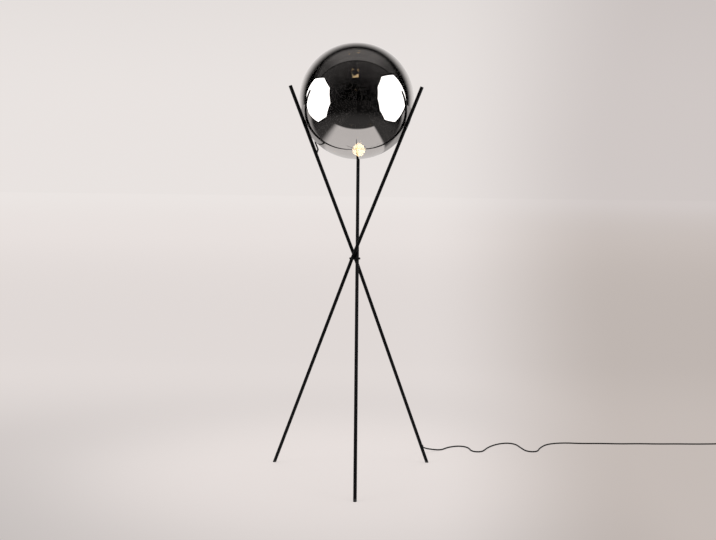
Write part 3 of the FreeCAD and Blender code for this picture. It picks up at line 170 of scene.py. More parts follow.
def noise_node(tree, scale_socket, detail):
    """Noise on the piece's own coordinates."""
    place = tree.nodes.new("ShaderNodeTexCoord")
    noise = tree.nodes.new("ShaderNodeTexNoise")
    noise.inputs["Detail"].default_value = detail
    tree.links.new(place.outputs["Object"], noise.inputs["Vector"])
    tree.links.new(scale_socket, noise.inputs["Scale"])
    return noise


def build_uneven():
    """A value that varies over the surface between two ends, for roughness."""
    group, given, result = node_group(
        "uneven_value",
        [("Scale", "NodeSocketFloat", 30.0), ("Low", "NodeSocketFloat", 0.3), ("High", "NodeSocketFloat", 0.5)],
        [("Value", "NodeSocketFloat")],
    )
    noise = noise_node(group, given.outputs["Scale"], 3.0)
    spread = group.nodes.new("ShaderNodeMapRange")
    group.links.new(noise.outputs["Fac"], spread.inputs["Value"])
    spread.inputs["From Min"].default_value = 0.3
    spread.inputs["From Max"].default_value = 0.7
    group.links.new(given.outputs["Low"], spread.inputs["To Min"])
    group.links.new(given.outputs["High"], spread.inputs["To Max"])
    group.links.new(spread.outputs["Result"], result.inputs["Value"])
    return group


def build_grain():
    """Normal of a fine grained surface."""
    group, given, result = node_group(
        "fine_grain",
        [("Scale", "NodeSocketFloat", 900.0), ("Strength", "NodeSocketFloat", 0.2),
         ("Depth", "NodeSocketFloat", 0.0001)],
        [("Normal", "NodeSocketVector")],
    )
    noise = noise_node(group, given.outputs["Scale"], 2.0)
    bump = group.nodes.new("ShaderNodeBump")
    group.links.new(noise.outputs["Fac"], bump.inputs["Height"])
    group.links.new(given.outputs["Strength"], bump.inputs["Strength"])
    group.links.new(given.outputs["Depth"], bump.inputs["Distance"])
    group.links.new(bump.outputs["Normal"], result.inputs["Normal"])
    return group


def build_tint():
    """A colour that drifts between two close shades over the surface, with specks of dust."""
    group, given, result = node_group(
        "drifting_tint",
        [("Scale", "NodeSocketFloat", 12.0), ("Dark", "NodeSocketColor", (0.02, 0.02, 0.02, 1)),
         ("Light", "NodeSocketColor", (0.03, 0.03, 0.03, 1)), ("Dust", "NodeSocketFloat", 0.0)],
        [("Color", "NodeSocketColor")],
    )
    drift = noise_node(group, given.outputs["Scale"], 3.0)
    blend = group.nodes.new("ShaderNodeMix")
    blend.data_type = "RGBA"
    group.links.new(drift.outputs["Fac"], blend.inputs["Factor"])
    group.links.new(given.outputs["Dark"], blend.inputs["A"])
    group.links.new(given.outputs["Light"], blend.inputs["B"])
    finer = group.nodes.new("ShaderNodeMath")
    finer.operation = "MULTIPLY"
    finer.inputs[1].default_value = 60.0
    group.links.new(given.outputs["Scale"], finer.inputs[0])
    specks = noise_node(group, finer.outputs["Value"], 1.0)
    few = group.nodes.new("ShaderNodeMapRange")
    few.inputs["From Min"].default_value = 0.66
    few.inputs["From Max"].default_value = 0.78
    group.links.new(specks.outputs["Fac"], few.inputs["Value"])
    group.links.new(given.outputs["Dust"], few.inputs["To Max"])
    dusted = group.nodes.new("ShaderNodeMix")
    dusted.data_type = "RGBA"
    dusted.inputs["B"].default_value = (0.45, 0.43, 0.41, 1)
    group.links.new(few.outputs["Result"], dusted.inputs["Factor"])
    group.links.new(blend.outputs["Result"], dusted.inputs["A"])
    group.links.new(dusted.outputs["Result"], result.inputs["Color"])
    return group


UNEVEN = build_uneven()
GRAIN = build_grain()
TINT = build_tint()
print("groups", [group.name for group in (UNEVEN, GRAIN, TINT)])


# %% [markdown]
# ## Finishes
# One function makes a finish from the shared groups: two close shades, a range of roughness and a
# grain. Settings that are the same all over, such as metal or clear coat, go straight on the shader.


# %% A function for finishes
def placed_group(tree, group, **values):
    """The group as a node of the material, with its inputs set."""
    placed = tree.nodes.new("ShaderNodeGroup")
    placed.node_tree = group
    for name, value in values.items():
        placed.inputs[name].default_value = value
    return placed


def finish(name, dark, light, rough, grain=None, dust=0.0, drift=12.0, **settings):
    """Material with a drifting tint, uneven roughness and fine grain."""
    material = bpy.data.materials.new(name)
    material.use_nodes = True
    tree = material.node_tree
    shader = tree.nodes["Principled BSDF"]
    tint = placed_group(tree, TINT, Scale=drift, Dark=(*dark, 1), Light=(*light, 1), Dust=dust)
    tree.links.new(tint.outputs["Color"], shader.inputs["Base Color"])
    uneven = placed_group(tree, UNEVEN, Scale=drift * 3, Low=rough[0], High=rough[1])
    tree.links.new(uneven.outputs["Value"], shader.inputs["Roughness"])
    if grain:
        scale, strength, depth = grain
        texture = placed_group(tree, GRAIN, Scale=scale, Strength=strength, Depth=depth)
        tree.links.new(texture.outputs["Normal"], shader.inputs["Normal"])
    for socket, value in settings.items():
        shader.inputs[socket.replace("_", " ")].default_value = value
    return material


# %% Make the finishes
black_paint = finish("black_paint", (0.0025, 0.0025, 0.003), (0.005, 0.005, 0.0055), (0.46, 0.60),
                     grain=(1400, 0.25, 0.00012), dust=0.015, Specular_IOR_Level=0.10)
black_steel = finish("black_steel", (0.020, 0.020, 0.021), (0.035, 0.034, 0.033), (0.30, 0.42),
                     grain=(2500, 0.15, 0.00005), Metallic=0.6)
satin_steel = finish("satin_steel", (0.50, 0.50, 0.51), (0.60, 0.60, 0.60), (0.24, 0.36),
                     grain=(3000, 0.10, 0.00004), Metallic=1.0)
nickel = finish("nickel", (0.66, 0.64, 0.60), (0.74, 0.72, 0.68), (0.14, 0.24), Metallic=1.0)
brass = finish("brass", (0.62, 0.45, 0.20), (0.74, 0.56, 0.28), (0.22, 0.34), Metallic=1.0)
ceramic = finish("ceramic", (0.78, 0.76, 0.71), (0.84, 0.82, 0.78), (0.16, 0.26), drift=40.0)
black_plastic = finish("black_plastic", (0.013, 0.013, 0.014), (0.022, 0.022, 0.023), (0.38, 0.48),
                       grain=(2200, 0.35, 0.00010), dust=0.08)
black_gloss = finish("black_gloss", (0.010, 0.010, 0.011), (0.014, 0.014, 0.015), (0.12, 0.22),
                     dust=0.05, Coat_Weight=0.3)
black_rubber = finish("black_rubber", (0.012, 0.012, 0.012), (0.024, 0.023, 0.022), (0.62, 0.78),
                      grain=(1800, 0.5, 0.00015), dust=0.12)
cord_jacket = finish("cord_jacket", (0.003, 0.003, 0.0035), (0.006, 0.006, 0.0065), (0.42, 0.54),
                     grain=(1600, 0.25, 0.00008), dust=0.02, drift=25.0, Specular_IOR_Level=0.10)
clear_sleeve = finish("clear_sleeve", (0.90, 0.90, 0.90), (0.95, 0.95, 0.95), (0.08, 0.16),
                      Transmission_Weight=1.0, IOR=1.41)
print("finishes", len(bpy.data.materials))

# %% [markdown]
# ## Mirror glass
# The ball is clear glass under a thin dark mirror coat, as on sunglasses. The coat gives back about
# half of the light, so the room shows in it, and lets a little through, so the lit bulb shows
# as well. On one shader that is a high Metallic for the mirror, with Transmission for what is left.
# The inside wall is plain glass, as a second material.


# %% Make the glass finishes
BULB_TINT = (1.0, 0.74, 0.42)
BULB_GLOW = 3.4
FILAMENT_GLOW = 1500.0


def glass(name, colour, rough, **settings):
    """Glass whose roughness is uneven, as where it was wiped."""
    material = bpy.data.materials.new(name)
    material.use_nodes = True
    tree = material.node_tree
    shader = tree.nodes["Principled BSDF"]
    shader.inputs["Base Color"].default_value = (*colour, 1)
    shader.inputs["Transmission Weight"].default_value = 1.0
    uneven = placed_group(tree, UNEVEN, Scale=9.0, Low=rough[0], High=rough[1])
    tree.links.new(uneven.outputs["Value"], shader.inputs["Roughness"])
    for socket, value in settings.items():
        shader.inputs[socket.replace("_", " ")].default_value = value
    return material


mirror_glass = glass("mirror_glass", (0.62, 0.595, 0.58), (0.0, 0.012), Metallic=0.90, IOR=1.5)
inner_glass = glass("inner_glass", (0.97, 0.97, 0.97), (0.0, 0.01), IOR=1.5)
bulb_glass = glass("bulb_glass", (1.0, 0.97, 0.90), (0.0, 0.02), IOR=1.45)
bulb_shader = bulb_glass.node_tree.nodes["Principled BSDF"]
bulb_shader.inputs["Emission Color"].default_value = (*BULB_TINT, 1)
bulb_shader.inputs["Emission Strength"].default_value = BULB_GLOW
mount_glass = glass("mount_glass", (0.95, 0.93, 0.88), (0.02, 0.06), IOR=1.5)

filament = bpy.data.materials.new("filament")
filament.use_nodes = True
glow = filament.node_tree.nodes["Principled BSDF"]
glow_tint = placed_group(filament.node_tree, TINT, Scale=900.0, Dark=(1.0, 0.60, 0.16, 1),
                         Light=(1.0, 0.78, 0.34, 1))
filament.node_tree.links.new(glow_tint.outputs["Color"], glow.inputs["Emission Color"])
glow.inputs["Base Color"].default_value = (1.0, 0.75, 0.30, 1)
glow.inputs["Emission Strength"].default_value = FILAMENT_GLOW

# %% [markdown]
# ## The glass ball
# A blown ball is the same all round, but it has one round opening, at the back, where it is
# clamped. The sphere is made with its pole at the opening, because then a single cut across the
# pole leaves a clean ring of vertices.


# %% Blow the ball
BALL_SEGMENTS, BALL_RINGS = 160, 96


def glass_ball():
    """Sphere with its opening cut at one pole, and a wall with a material of its own inside."""
    form = bmesh.new()
    bmesh.ops.create_uvsphere(form, u_segments=BALL_SEGMENTS, v_segments=BALL_RINGS, radius=GLOBE_RADIUS)
    height = math.sqrt(GLOBE_RADIUS ** 2 - OPENING_RADIUS ** 2)
    bmesh.ops.bisect_plane(form, geom=form.verts[:] + form.edges[:] + form.faces[:], dist=1e-7,
                           plane_co=(0, 0, height), plane_no=(0, 0, 1), clear_outer=True)
    bmesh.ops.transform(form, matrix=towards(GLOBE, CLAMP_WAY), verts=form.verts)
    bmesh.ops.recalc_face_normals(form, faces=form.faces)
    ball = mesh_piece("globe_glass_ball", form, [mirror_glass, inner_glass], 60)
    wall = ball.modifiers.new("wall", "SOLIDIFY")
    wall.thickness = GLASS
    wall.offset = -1
    wall.use_even_offset = True
    wall.material_offset = 1
    return finish_piece(ball, LAMP, "smoked_mirror", "glass_globe")


globe = glass_ball()
print("ball", len(globe.data.polygons), "faces")

# %% [markdown]
# ## The bulb
# A round filament bulb is thin glass that swells from a narrow neck. Its outline is one smooth
# curve, so it is turned from a short profile: an arc for the ball and a hollow curve for the neck.


# %% Turn the bulb's glass
BULB_RADIUS = 22.5
NECK_RADIUS = 6.3
NECK_FROM = -34.0
NECK_STRAIGHT, NECK_FLARE = 3, 0.4
NECK_STEPS, BALL_STEPS = 8, 24
JOIN_ANGLE = -48
EASE_SHARE = 0.55
BULB_STEPS = 72
BULB_WALL = 0.8 * MM


def bulb_profile():
    """Outline from the neck to the tip, in millimetres from the bulb's centre."""
    points = [(NECK_RADIUS, NECK_FROM), (NECK_RADIUS + NECK_FLARE, NECK_FROM + NECK_STRAIGHT)]
    join = math.radians(JOIN_ANGLE)
    join_at = (BULB_RADIUS * math.cos(join), BULB_RADIUS * math.sin(join))
    start = points[-1]
    for step in range(1, NECK_STEPS):
        share = step / NECK_STEPS
        ease = share * share * (3 - 2 * share)
        points.append((start[0] + (join_at[0] - start[0]) * ((1 - EASE_SHARE) * share + EASE_SHARE * ease),
                       start[1] + (join_at[1] - start[1]) * share))
    for step in range(BALL_STEPS + 1):
        angle = join + (math.pi / 2 - join) * step / BALL_STEPS
        points.append((max(BULB_RADIUS * math.cos(angle), 0.0), BULB_RADIUS * math.sin(angle)))
    return points


bulb_form = spun(bulb_profile(), BULB_STEPS)
bmesh.ops.transform(bulb_form, matrix=towards(BULB, BULB_WAY), verts=bulb_form.verts)
bulb = mesh_piece("bulb_glass_ball", bulb_form, [bulb_glass], 60)
bulb_wall = bulb.modifiers.new("wall", "SOLIDIFY")
bulb_wall.thickness = BULB_WALL
bulb_wall.offset = -1
finish_piece(bulb, LAMP, "bulb_glass", "bulb_glass")
print("bulb", len(bulb.data.polygons), "faces")

# %% [markdown]
# ## The cord on the floor
# A mains cord has one fixed length. It leaves the leg a hand's width above the floor, drops, and
# lies in loose waves. A NURBS curve through a few control points gives such a line, because it
# bends evenly and can't kink. The part of the cord that the picture doesn't show is wound into a
# neat coil with a strap, beyond the foot switch.

# %% The cord from the leg to the foot switch
CORD_DIAMETER = 5.5
CORD_ORDER = 3
CORD_STEPS = 10
CORD_ROUNDNESS = 5
RUN_POINTS = [
    (263.124, 190.217, 57.546), (269.326, 234.346, 51.284), (270, 278, 30.5), (299, 327, 11), (347, 343, 2.85),
    (379, 391, 2.85), (425, 415, 2.85), (460, 394, 2.85), (466, 328, 2.85), (507, 322, 2.85),
    (533, 387, 2.85), (574, 444, 2.85), (623, 471, 2.85), (656, 452, 2.85), (668, 392, 2.85),
    (683, 336, 2.85), (724, 334, 2.85), (741, 390, 2.85), (781, 457, 2.85), (850, 482, 2.85),
    (925, 473, 2.85), (1003, 478, 2.85), (1080, 474, 2.85), (1157, 481, 2.85), (1235, 479, 2.85),
    (1312, 484, 2.85), (1386, 484, 2.85), (1446, 488.5, 2.85), (1484, 490, 3.4), (1510.5, 491, 8.5),
    (1534, 491, 8.5),
]


def cord_curve(name, points):
    """Round cord along a smooth curve with these control points, in millimetres."""
    curve = bpy.data.curves.new(name, "CURVE")
    curve.dimensions = "3D"
    spline = curve.splines.new("NURBS")
    spline.points.add(len(points) - 1)
    for knot, point in zip(spline.points, points):
        knot.co = (point[0] * MM, point[1] * MM, point[2] * MM, 1)
    spline.order_u = CORD_ORDER
    spline.use_endpoint_u = True
    curve.resolution_u = CORD_STEPS
    curve.bevel_depth = CORD_DIAMETER / 2 * MM
    curve.bevel_resolution = CORD_ROUNDNESS
    curve.use_fill_caps = True
    curve.materials.append(cord_jacket)
    made = bpy.data.objects.new(name, curve)
    scene.collection.objects.link(made)
    return made


run = finish_piece(cord_curve("cord_to_switch", RUN_POINTS), LAMP, "cord", "mains_cord_run")
print("run", len(RUN_POINTS), "points")

# %% The cord from the switch to the plug, with its coil
COIL_X, COIL_Y = 1662.0, 425.0
COIL_INNER, COIL_PITCH, COIL_LOW = 22.4, 6.1, 3.77
COIL_TURNS = 5
POINTS_PER_TURN = 16


def coil_points():
    """Turns that spiral in, climb one layer and spiral out again."""
    swell = 1 / math.cos(math.pi / POINTS_PER_TURN)
    middle = COIL_TURNS * math.pi
    found = []
    for index in range(COIL_TURNS * POINTS_PER_TURN + 1):
        angle = index * math.tau / POINTS_PER_TURN
        radius = (COIL_INNER + COIL_PITCH * abs(angle - middle) / math.tau) * swell
        climb = min(max((angle - middle) / math.pi + 0.5, 0), 1)
        found.append((COIL_X + radius * math.cos(angle), COIL_Y - radius * math.sin(angle),
                      COIL_LOW + COIL_PITCH * climb))
    return found


LINK_POINTS = [(1650, 491, 8.5), (1672, 491, 8.5), (1691, 479.5, 4.6), (1699.65, 455.5, 3.77),
               (1699.9, 440, 3.77)]
TAIL_POINTS = [(1699.9, 410, 9.87), (1699.65, 398, 9.87), (1697.5, 371, 4.7), (1684, 345.5, 4.6),
               (1662.5, 335, 7.0), (1640, 335, 7.0)]
rest = finish_piece(cord_curve("cord_to_plug", LINK_POINTS + coil_points() + TAIL_POINTS), LAMP, "cord",
                    "mains_cord_link", "mains_cord_coil", "mains_cord_tail")
print("coil", COIL_TURNS, "turns")

# %% [markdown]
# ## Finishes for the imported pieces
# The tubes, the hub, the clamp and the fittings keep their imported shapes. Each only gets its finish
# in place of the plain one.

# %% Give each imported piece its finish
FINISH_OF_SLOT = {
    "black_metal": black_paint,
    "black_fixings": black_steel,
    "bulb_mount": mount_glass,
    "filament": filament,
    "screw_base": nickel,
    "steel": satin_steel,
    "brass": brass,
    "ceramic": ceramic,
    "black_plastic": black_plastic,
    "black_gloss": black_gloss,
    "black_rubber": black_rubber,
    "clear_sleeve": clear_sleeve,
    "cord": cord_jacket,
    "smoked_mirror": mirror_glass,
    "bulb_glass": bulb_glass,
}
for part in frame["record"]["subparts"]:
    mesh = nodes[part["node"]].data
    mesh.materials.clear()
    mesh.materials.append(FINISH_OF_SLOT[part["material_slot"]])

# %% [markdown]
# ## The studio
# Mirror glass shows whatever is round it, so the studio is part of the look: a pale paper floor, a
# dark room and two large eight-sided softboxes, one at each side. They are only seen in
# reflections, and soft lamps beside them do the lighting.

# %% Tones of the backdrop
BACKDROP_LEFT_FAR = (0.815, 0.770, 0.750)
BACKDROP_LEFT_NEAR = (0.785, 0.730, 0.710)
# Painted shade: backdrop and floor darken to the right, as if less light fell on that side; the near floor is a
# little darker than the far paper.
BACKDROP_SHADED_RIGHT_FAR = (0.625, 0.575, 0.560)
BACKDROP_SHADED_RIGHT_NEAR = (0.548, 0.491, 0.461)
MIRRORED_PAPER = (1.0, 0.965, 0.95)
SIDE_STARTS = (0.06, 0.235)
SIDE_ENDS = (0.34, 0.70)


def math_node(tree, operation, first, second=None):
    """Math node whose inputs are sockets or numbers."""
    made = tree.nodes.new("ShaderNodeMath")
    made.operation = operation
    for index, value in enumerate((first, second)):
        if value is None:
            continue
        if isinstance(value, (int, float)):
            made.inputs[index].default_value = value
        else:
            tree.links.new(value, made.inputs[index])
    return made.outputs[0]


def rise(tree, value, start, end):
    """A value that goes smoothly from 0 at start to 1 at end."""
    ramp = tree.nodes.new("ShaderNodeMapRange")
    ramp.interpolation_type = "SMOOTHSTEP"
    ramp.inputs["From Min"].default_value = start
    ramp.inputs["From Max"].default_value = end
    tree.links.new(value, ramp.inputs["Value"])
    return ramp.outputs["Result"]


def fall(tree, value, start, end):
    """A value that goes smoothly from 1 at start to 0 at end."""
    return math_node(tree, "SUBTRACT", 1.0, rise(tree, value, start, end))


def product(tree, *values):
    """All values multiplied together."""
    result = values[0]
    for value in values[1:]:
        result = math_node(tree, "MULTIPLY", result, value)
    return result


def total(tree, *values):
    """All values added together."""
    result = values[0]
    for value in values[1:]:
        result = math_node(tree, "ADD", result, value)
    return result


def blend_colours(tree, factor, first, second):
    """Mix of two colours, each a socket or a plain colour."""
    mixed = tree.nodes.new("ShaderNodeMix")
    mixed.data_type = "RGBA"
    tree.links.new(factor, mixed.inputs["Factor"])
    for name, colour in (("A", first), ("B", second)):
        if isinstance(colour, tuple):
            mixed.inputs[name].default_value = (*colour, 1)
        else:
            tree.links.new(colour, mixed.inputs[name])
    return mixed.outputs["Result"]


def backdrop_tone_with_painted_shade(tree, sideways, length_squared, front, left_colour, shaded_right_colour):
    """Pale colour with painted shade that darkens it to the right, by how far sideways the view goes, where front
    is 1.
    """
    share = math_node(tree, "DIVIDE", sideways, math_node(tree, "SQRT", length_squared))
    shade = product(tree, rise(tree, share, *SIDE_STARTS), fall(tree, share, *SIDE_ENDS), front)
    return blend_colours(tree, shade, left_colour, shaded_right_colour)


# %% Paper floor
# Ranges are metres on the floor, and each painted shade is a share of the paper's own tone.
FADE_FROM_Y = -3.9
FADE_SOFTNESS = 1.6
PAPER_LEVEL = 1.02
FAR_REACH = (6.0, 38.0)
FRONT_EDGE = (-2.6, -1.0)
CORNER_REACH, CORNER_DEPTH, CORNER_SHADE = (0.3, 1.6), (-0.3, 2.2), 0.26
NEAR_DEPTH, NEAR_SHADE = (-0.7, 0.3), 0.07
BAND_START, BAND_END, BAND_SHADE = (0.6, 2.6), (3.5, 14.0), 0.07
CLOSE_REACH, CLOSE_SIDE = (2.2, 4.0), (0.3, 1.1)
LIT_REACH, LIT_SHARE = (0.45, 1.15), 0.26
ROLL_RIGHT, ROLL_LEFT, ROLL_FRONT = (0.84, 0.98), (0.85, 1.35), (-0.98, -0.86)
BEYOND_START, BEYOND_SHARE = (0.9, 2.0), 0.60
# GLOW is a painted pool of light on the floor round the lamp, seen only in mirrors.
GLOW_REACH, GLOW_LEVEL, DARK_LEVEL = (1.4, 3.6), 0.045, 0.006
MIRRORED_LEVEL = 0.75


def paper_seen(tree, x, y, distance):
    """What the camera sees: pale paper, darkened by painted shade to the right, round the lamp and in a band
    further back, that takes part of its light from the lamps.
    """
    far = rise(tree, distance, *FAR_REACH)
    left_colour = blend_colours(tree, far, BACKDROP_LEFT_NEAR, BACKDROP_LEFT_FAR)
    shaded_right_colour = blend_colours(tree, far, BACKDROP_SHADED_RIGHT_NEAR, BACKDROP_SHADED_RIGHT_FAR)
    ahead = math_node(tree, "SUBTRACT", y, FADE_FROM_Y)
    spread = total(tree, product(tree, x, x), product(tree, ahead, ahead), FADE_SOFTNESS ** 2)
    front = rise(tree, y, *FRONT_EDGE)
    tone = backdrop_tone_with_painted_shade(tree, x, spread, front, left_colour, shaded_right_colour)
    # Painted shade on the paper: darker round the lamp beyond its feet and towards the front, but not far to its
    # right, and in a band further back.
    painted_corner_shade = product(tree, rise(tree, distance, *CORNER_REACH), fall(tree, y, *CORNER_DEPTH), CORNER_SHADE)
    painted_front_shade = product(tree, fall(tree, y, *NEAR_DEPTH), NEAR_SHADE)
    painted_band_shade = product(tree, rise(tree, y, *BAND_START), fall(tree, y, *BAND_END), BAND_SHADE)
    close = product(tree, fall(tree, distance, *CLOSE_REACH), fall(tree, x, *CLOSE_SIDE), front)
    shade = total(tree, product(tree, close, total(tree, painted_corner_shade, painted_front_shade)), painted_band_shade)
    flat = tree.nodes.new("ShaderNodeEmission")
    tree.links.new(tone, flat.inputs["Color"])
    tree.links.new(math_node(tree, "SUBTRACT", PAPER_LEVEL, shade), flat.inputs["Strength"])
    lit = tree.nodes.new("ShaderNodeBsdfDiffuse")
    tree.links.new(tone, lit.inputs["Color"])
    paper = tree.nodes.new("ShaderNodeMixShader")
    tree.links.new(product(tree, fall(tree, distance, *LIT_REACH), LIT_SHARE), paper.inputs["Fac"])
    tree.links.new(flat.outputs[0], paper.inputs[1])
    tree.links.new(lit.outputs[0], paper.inputs[2])
    return paper.outputs[0]


def paper_mirrored(tree, x, y, distance):
    """What mirrors see: the roll of paper, no wider than it is, in a dark room, with a painted pool of light on
    the floor round the lamp.
    """
    left_side = math_node(tree, "MULTIPLY", x, -1.0)
    roll = product(tree, fall(tree, x, *ROLL_RIGHT), fall(tree, left_side, *ROLL_LEFT),
                   rise(tree, y, *ROLL_FRONT))
    beyond = product(tree, rise(tree, y, *BEYOND_START), BEYOND_SHARE)
    # Painted light: a faint pool of light on the dark floor round the lamp.
    dark = total(tree, product(tree, fall(tree, distance, *GLOW_REACH), GLOW_LEVEL), DARK_LEVEL)
    seen = total(tree, product(tree, math_node(tree, "MAXIMUM", roll, beyond), MIRRORED_LEVEL), dark)
    mirrored = tree.nodes.new("ShaderNodeEmission")
    mirrored.inputs["Color"].default_value = (*MIRRORED_PAPER, 1)
    tree.links.new(seen, mirrored.inputs["Strength"])
    return mirrored.outputs[0]


def floor_material():
    """Paper that looks one way to the camera and another to mirrors."""
    material = bpy.data.materials.new("studio_paper")
    material.use_nodes = True
    tree = material.node_tree
    tree.nodes.remove(tree.nodes["Principled BSDF"])
    place = tree.nodes.new("ShaderNodeTexCoord")
    apart = tree.nodes.new("ShaderNodeSeparateXYZ")
    tree.links.new(place.outputs["Object"], apart.inputs[0])
    x, y = apart.outputs["X"], apart.outputs["Y"]
    squares = total(tree, product(tree, x, x), product(tree, y, y))
    distance = math_node(tree, "SQRT", squares)
    rays = tree.nodes.new("ShaderNodeLightPath")
    choose = tree.nodes.new("ShaderNodeMixShader")
    tree.links.new(rays.outputs["Is Camera Ray"], choose.inputs["Fac"])
    tree.links.new(paper_mirrored(tree, x, y, distance), choose.inputs[1])
    tree.links.new(paper_seen(tree, x, y, distance), choose.inputs[2])
    tree.links.new(choose.outputs[0], tree.nodes["Material Output"].inputs["Surface"])
    return material


floor_form = bmesh.new()
bmesh.ops.create_grid(floor_form, x_segments=1, y_segments=1, size=40)
floor = mesh_piece("studio_floor", floor_form, [floor_material()])
print("paper", [round(v, 1) for v in floor.dimensions])


# %% Softboxes
SOFTBOX_LIGHT = 3.0
BORDER_SIZE = 1.09
BORDER_GAP = 0.01
SOFTBOX_SIDES = 8


def direction(azimuth, elevation):
    """Unit vector from two angles in degrees."""
    azimuth, elevation = math.radians(azimuth), math.radians(elevation)
    return Vector((math.cos(azimuth) * math.cos(elevation), math.sin(azimuth) * math.cos(elevation),
                   math.sin(elevation)))


def glowing(name, strength):
    """Material that only shines."""
    material = bpy.data.materials.new(name)
    material.use_nodes = True
    tree = material.node_tree
    tree.nodes.remove(tree.nodes["Principled BSDF"])
    light = tree.nodes.new("ShaderNodeEmission")
    light.inputs["Color"].default_value = (1, 0.99, 0.98, 1)
    light.inputs["Strength"].default_value = strength
    tree.links.new(light.outputs[0], tree.nodes["Material Output"].inputs["Surface"])
    return material


def softbox(name, azimuth, elevation, facing, lean, radius, roll):
    """Eight-sided light panel with a black border, beside the ball; only reflections see it."""
    centre = GLOBE + direction(azimuth, elevation)
    outward = direction(facing, lean)
    for part, size, strength, back in (("", radius, SOFTBOX_LIGHT, 0.0),
                                       ("_border", radius * BORDER_SIZE, 0.0, BORDER_GAP)):
        form = bmesh.new()
        bmesh.ops.create_circle(form, cap_ends=True, segments=SOFTBOX_SIDES, radius=size)
        bmesh.ops.rotate(form, verts=form.verts, matrix=Matrix.Rotation(math.radians(roll), 3, "Z"))
        bmesh.ops.transform(form, matrix=towards(centre + outward * back, -outward, UP), verts=form.verts)
        panel = mesh_piece(name + part, form, [glowing(name + part, strength)])
        panel.visible_camera = False
        panel.visible_diffuse = False
        panel.visible_transmission = False
        panel.visible_shadow = False


softbox("softbox_left", azimuth=188.2, elevation=2.1, facing=196.4, lean=0.0, radius=0.620, roll=13.4)
softbox("softbox_right", azimuth=-31.4, elevation=2.5, facing=8.6, lean=8.8, radius=0.684, roll=1.0)
print("softboxes", SOFTBOX_SIDES, "sides")


# %% Lamps
def area_lamp(name, place, target, size, power):
    """Soft square lamp that reflections don't see."""
    light = bpy.data.lights.new(name, "AREA")
    light.shape = "SQUARE"
    light.size = size
    light.energy = power
    light.color = (1, 0.99, 0.98)
    made = bpy.data.objects.new(name, light)
    place, target = Vector(place), Vector(target)
    made.matrix_world = Matrix.Translation(place) @ (target - place).to_track_quat("-Z", "Y").to_matrix().to_4x4()
    made.visible_glossy = False
    made.visible_transmission = False
    scene.collection.objects.link(made)


LEGS_MIDDLE = (0, 0, 0.8)
area_lamp("lamp_left", (-2.6, -1.2, 2.3), LEGS_MIDDLE, 1.6, 34)
area_lamp("lamp_right", (2.6, -1.2, 2.3), LEGS_MIDDLE, 1.6, 27)
area_lamp("lamp_top", (0, 0.4, 3.4), (0, 0, 0), 2.4, 42)


# %% The room round the paper
# Heights and widths are slopes of the view from the ball, and edges are parts of a unit direction.
AMBIENT = 0.50
AMBIENT_COLOUR = (1.0, 0.98, 0.97)
HORIZON_STRETCH = 12.0
FRONT_VIEW = (0.0, 0.4)
# TOP_SHADE is painted shade that darkens the backdrop towards the top.
TOP_REACH, TOP_SHADE = (0.05, 0.25), 0.10
NEARLY_LEVEL = 0.02
PAPER_HEIGHT, PAPER_WIDTH, PAPER_SHIFT = (-0.1, 1.4), (0.35, 1.5), 0.17
EDGE_CURVE, EDGE_AT = 0.23, -0.12
CEILING_SLOPE, CEILING_RISE, CEILING_LEVEL = 1.35, (-0.02, 0.40), 0.16
CEILING_MIDDLE, CEILING_SIDES = (0.08, 0.45), 0.4
BEAM_WIDTH = 0.04
BACK_REACH, BACK_LEVEL = 0.87, 0.052


def background(tree, colour, strength):
    """Background shader; colour and strength are sockets or plain values."""
    made = tree.nodes.new("ShaderNodeBackground")
    for name, value in (("Color", colour), ("Strength", strength)):
        if isinstance(value, tuple):
            made.inputs[name].default_value = (*value, 1)
        elif isinstance(value, (int, float)):
            made.inputs[name].default_value = value
        else:
            tree.links.new(value, made.inputs[name])
    return made.outputs[0]


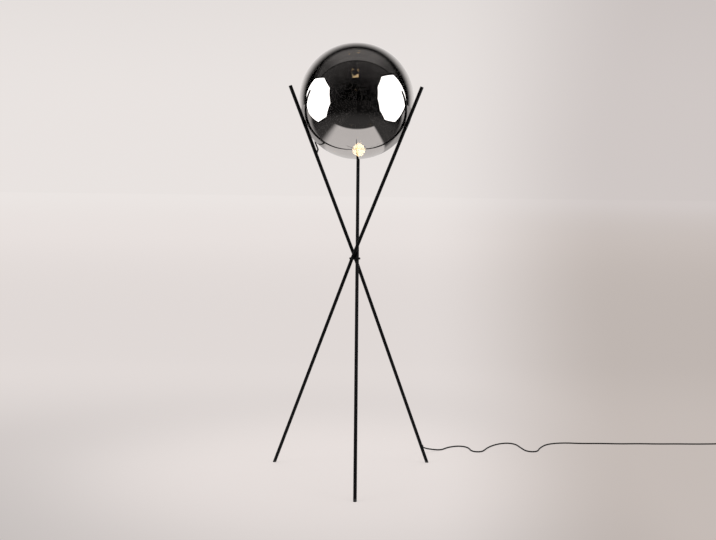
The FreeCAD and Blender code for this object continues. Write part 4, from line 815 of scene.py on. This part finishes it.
def room():
    """World: pale to the camera, with painted shade to the right and towards the top; to mirrors a dark room with
    the lit backdrop behind the lamp.
    """
    world = bpy.data.worlds.new("studio_room")
    scene.world = world
    world.use_nodes = True
    tree = world.node_tree
    tree.nodes.clear()
    place = tree.nodes.new("ShaderNodeTexCoord")
    apart = tree.nodes.new("ShaderNodeSeparateXYZ")
    tree.links.new(place.outputs["Generated"], apart.inputs[0])
    x, y, z = apart.outputs
    x_squared = product(tree, x, x)
    lengths = total(tree, x_squared, product(tree, y, y), product(tree, product(tree, z, z), HORIZON_STRETCH))
    front = rise(tree, y, *FRONT_VIEW)
    # Painted shade: the backdrop darkens to the right and towards the top.
    tone = backdrop_tone_with_painted_shade(tree, x, lengths, front, BACKDROP_LEFT_FAR, BACKDROP_SHADED_RIGHT_FAR)
    top = product(tree, rise(tree, z, *TOP_REACH), TOP_SHADE)
    direct = background(tree, tone, math_node(tree, "SUBTRACT", 1.0, top))

    ahead = math_node(tree, "MAXIMUM", y, NEARLY_LEVEL)
    height = math_node(tree, "DIVIDE", z, ahead)
    width = math_node(tree, "DIVIDE", x, ahead)
    width = math_node(tree, "MAXIMUM", math_node(tree, "SUBTRACT", width, PAPER_SHIFT),
                      product(tree, width, -1.0))
    paper = product(tree, math_node(tree, "GREATER_THAN", y, NEARLY_LEVEL), fall(tree, height, *PAPER_HEIGHT),
                    fall(tree, width, *PAPER_WIDTH))
    edge = total(tree, product(tree, x_squared, EDGE_CURVE), EDGE_AT)
    over = math_node(tree, "GREATER_THAN", y, edge)
    steep = math_node(tree, "SUBTRACT", z, product(tree, y, CEILING_SLOPE))
    ceiling = product(tree, over, rise(tree, steep, *CEILING_RISE), CEILING_LEVEL)
    middle = product(tree, fall(tree, x_squared, *CEILING_MIDDLE), 1 - CEILING_SIDES)
    ceiling = product(tree, ceiling, total(tree, CEILING_SIDES, middle))
    beam = math_node(tree, "GREATER_THAN", y, math_node(tree, "SUBTRACT", edge, BEAM_WIDTH))
    behind = math_node(tree, "MAXIMUM", total(tree, product(tree, y, 1 / BACK_REACH), 1.0), 0.0)
    behind = product(tree, math_node(tree, "MINIMUM", behind, 1.0), math_node(tree, "SUBTRACT", 1.0, beam),
                     BACK_LEVEL)
    mirrored = background(tree, MIRRORED_PAPER, total(tree, paper, ceiling, behind))

    rays = tree.nodes.new("ShaderNodeLightPath")
    sharp = math_node(tree, "MAXIMUM", rays.outputs["Is Glossy Ray"], rays.outputs["Is Transmission Ray"])
    first = tree.nodes.new("ShaderNodeMixShader")
    tree.links.new(sharp, first.inputs["Fac"])
    tree.links.new(background(tree, AMBIENT_COLOUR, AMBIENT), first.inputs[1])
    tree.links.new(mirrored, first.inputs[2])
    second = tree.nodes.new("ShaderNodeMixShader")
    tree.links.new(rays.outputs["Is Camera Ray"], second.inputs["Fac"])
    tree.links.new(first.outputs[0], second.inputs[1])
    tree.links.new(direct, second.inputs[2])
    output = tree.nodes.new("ShaderNodeOutputWorld")
    tree.links.new(second.outputs[0], output.inputs["Surface"])
    return world


print("world", room().name)
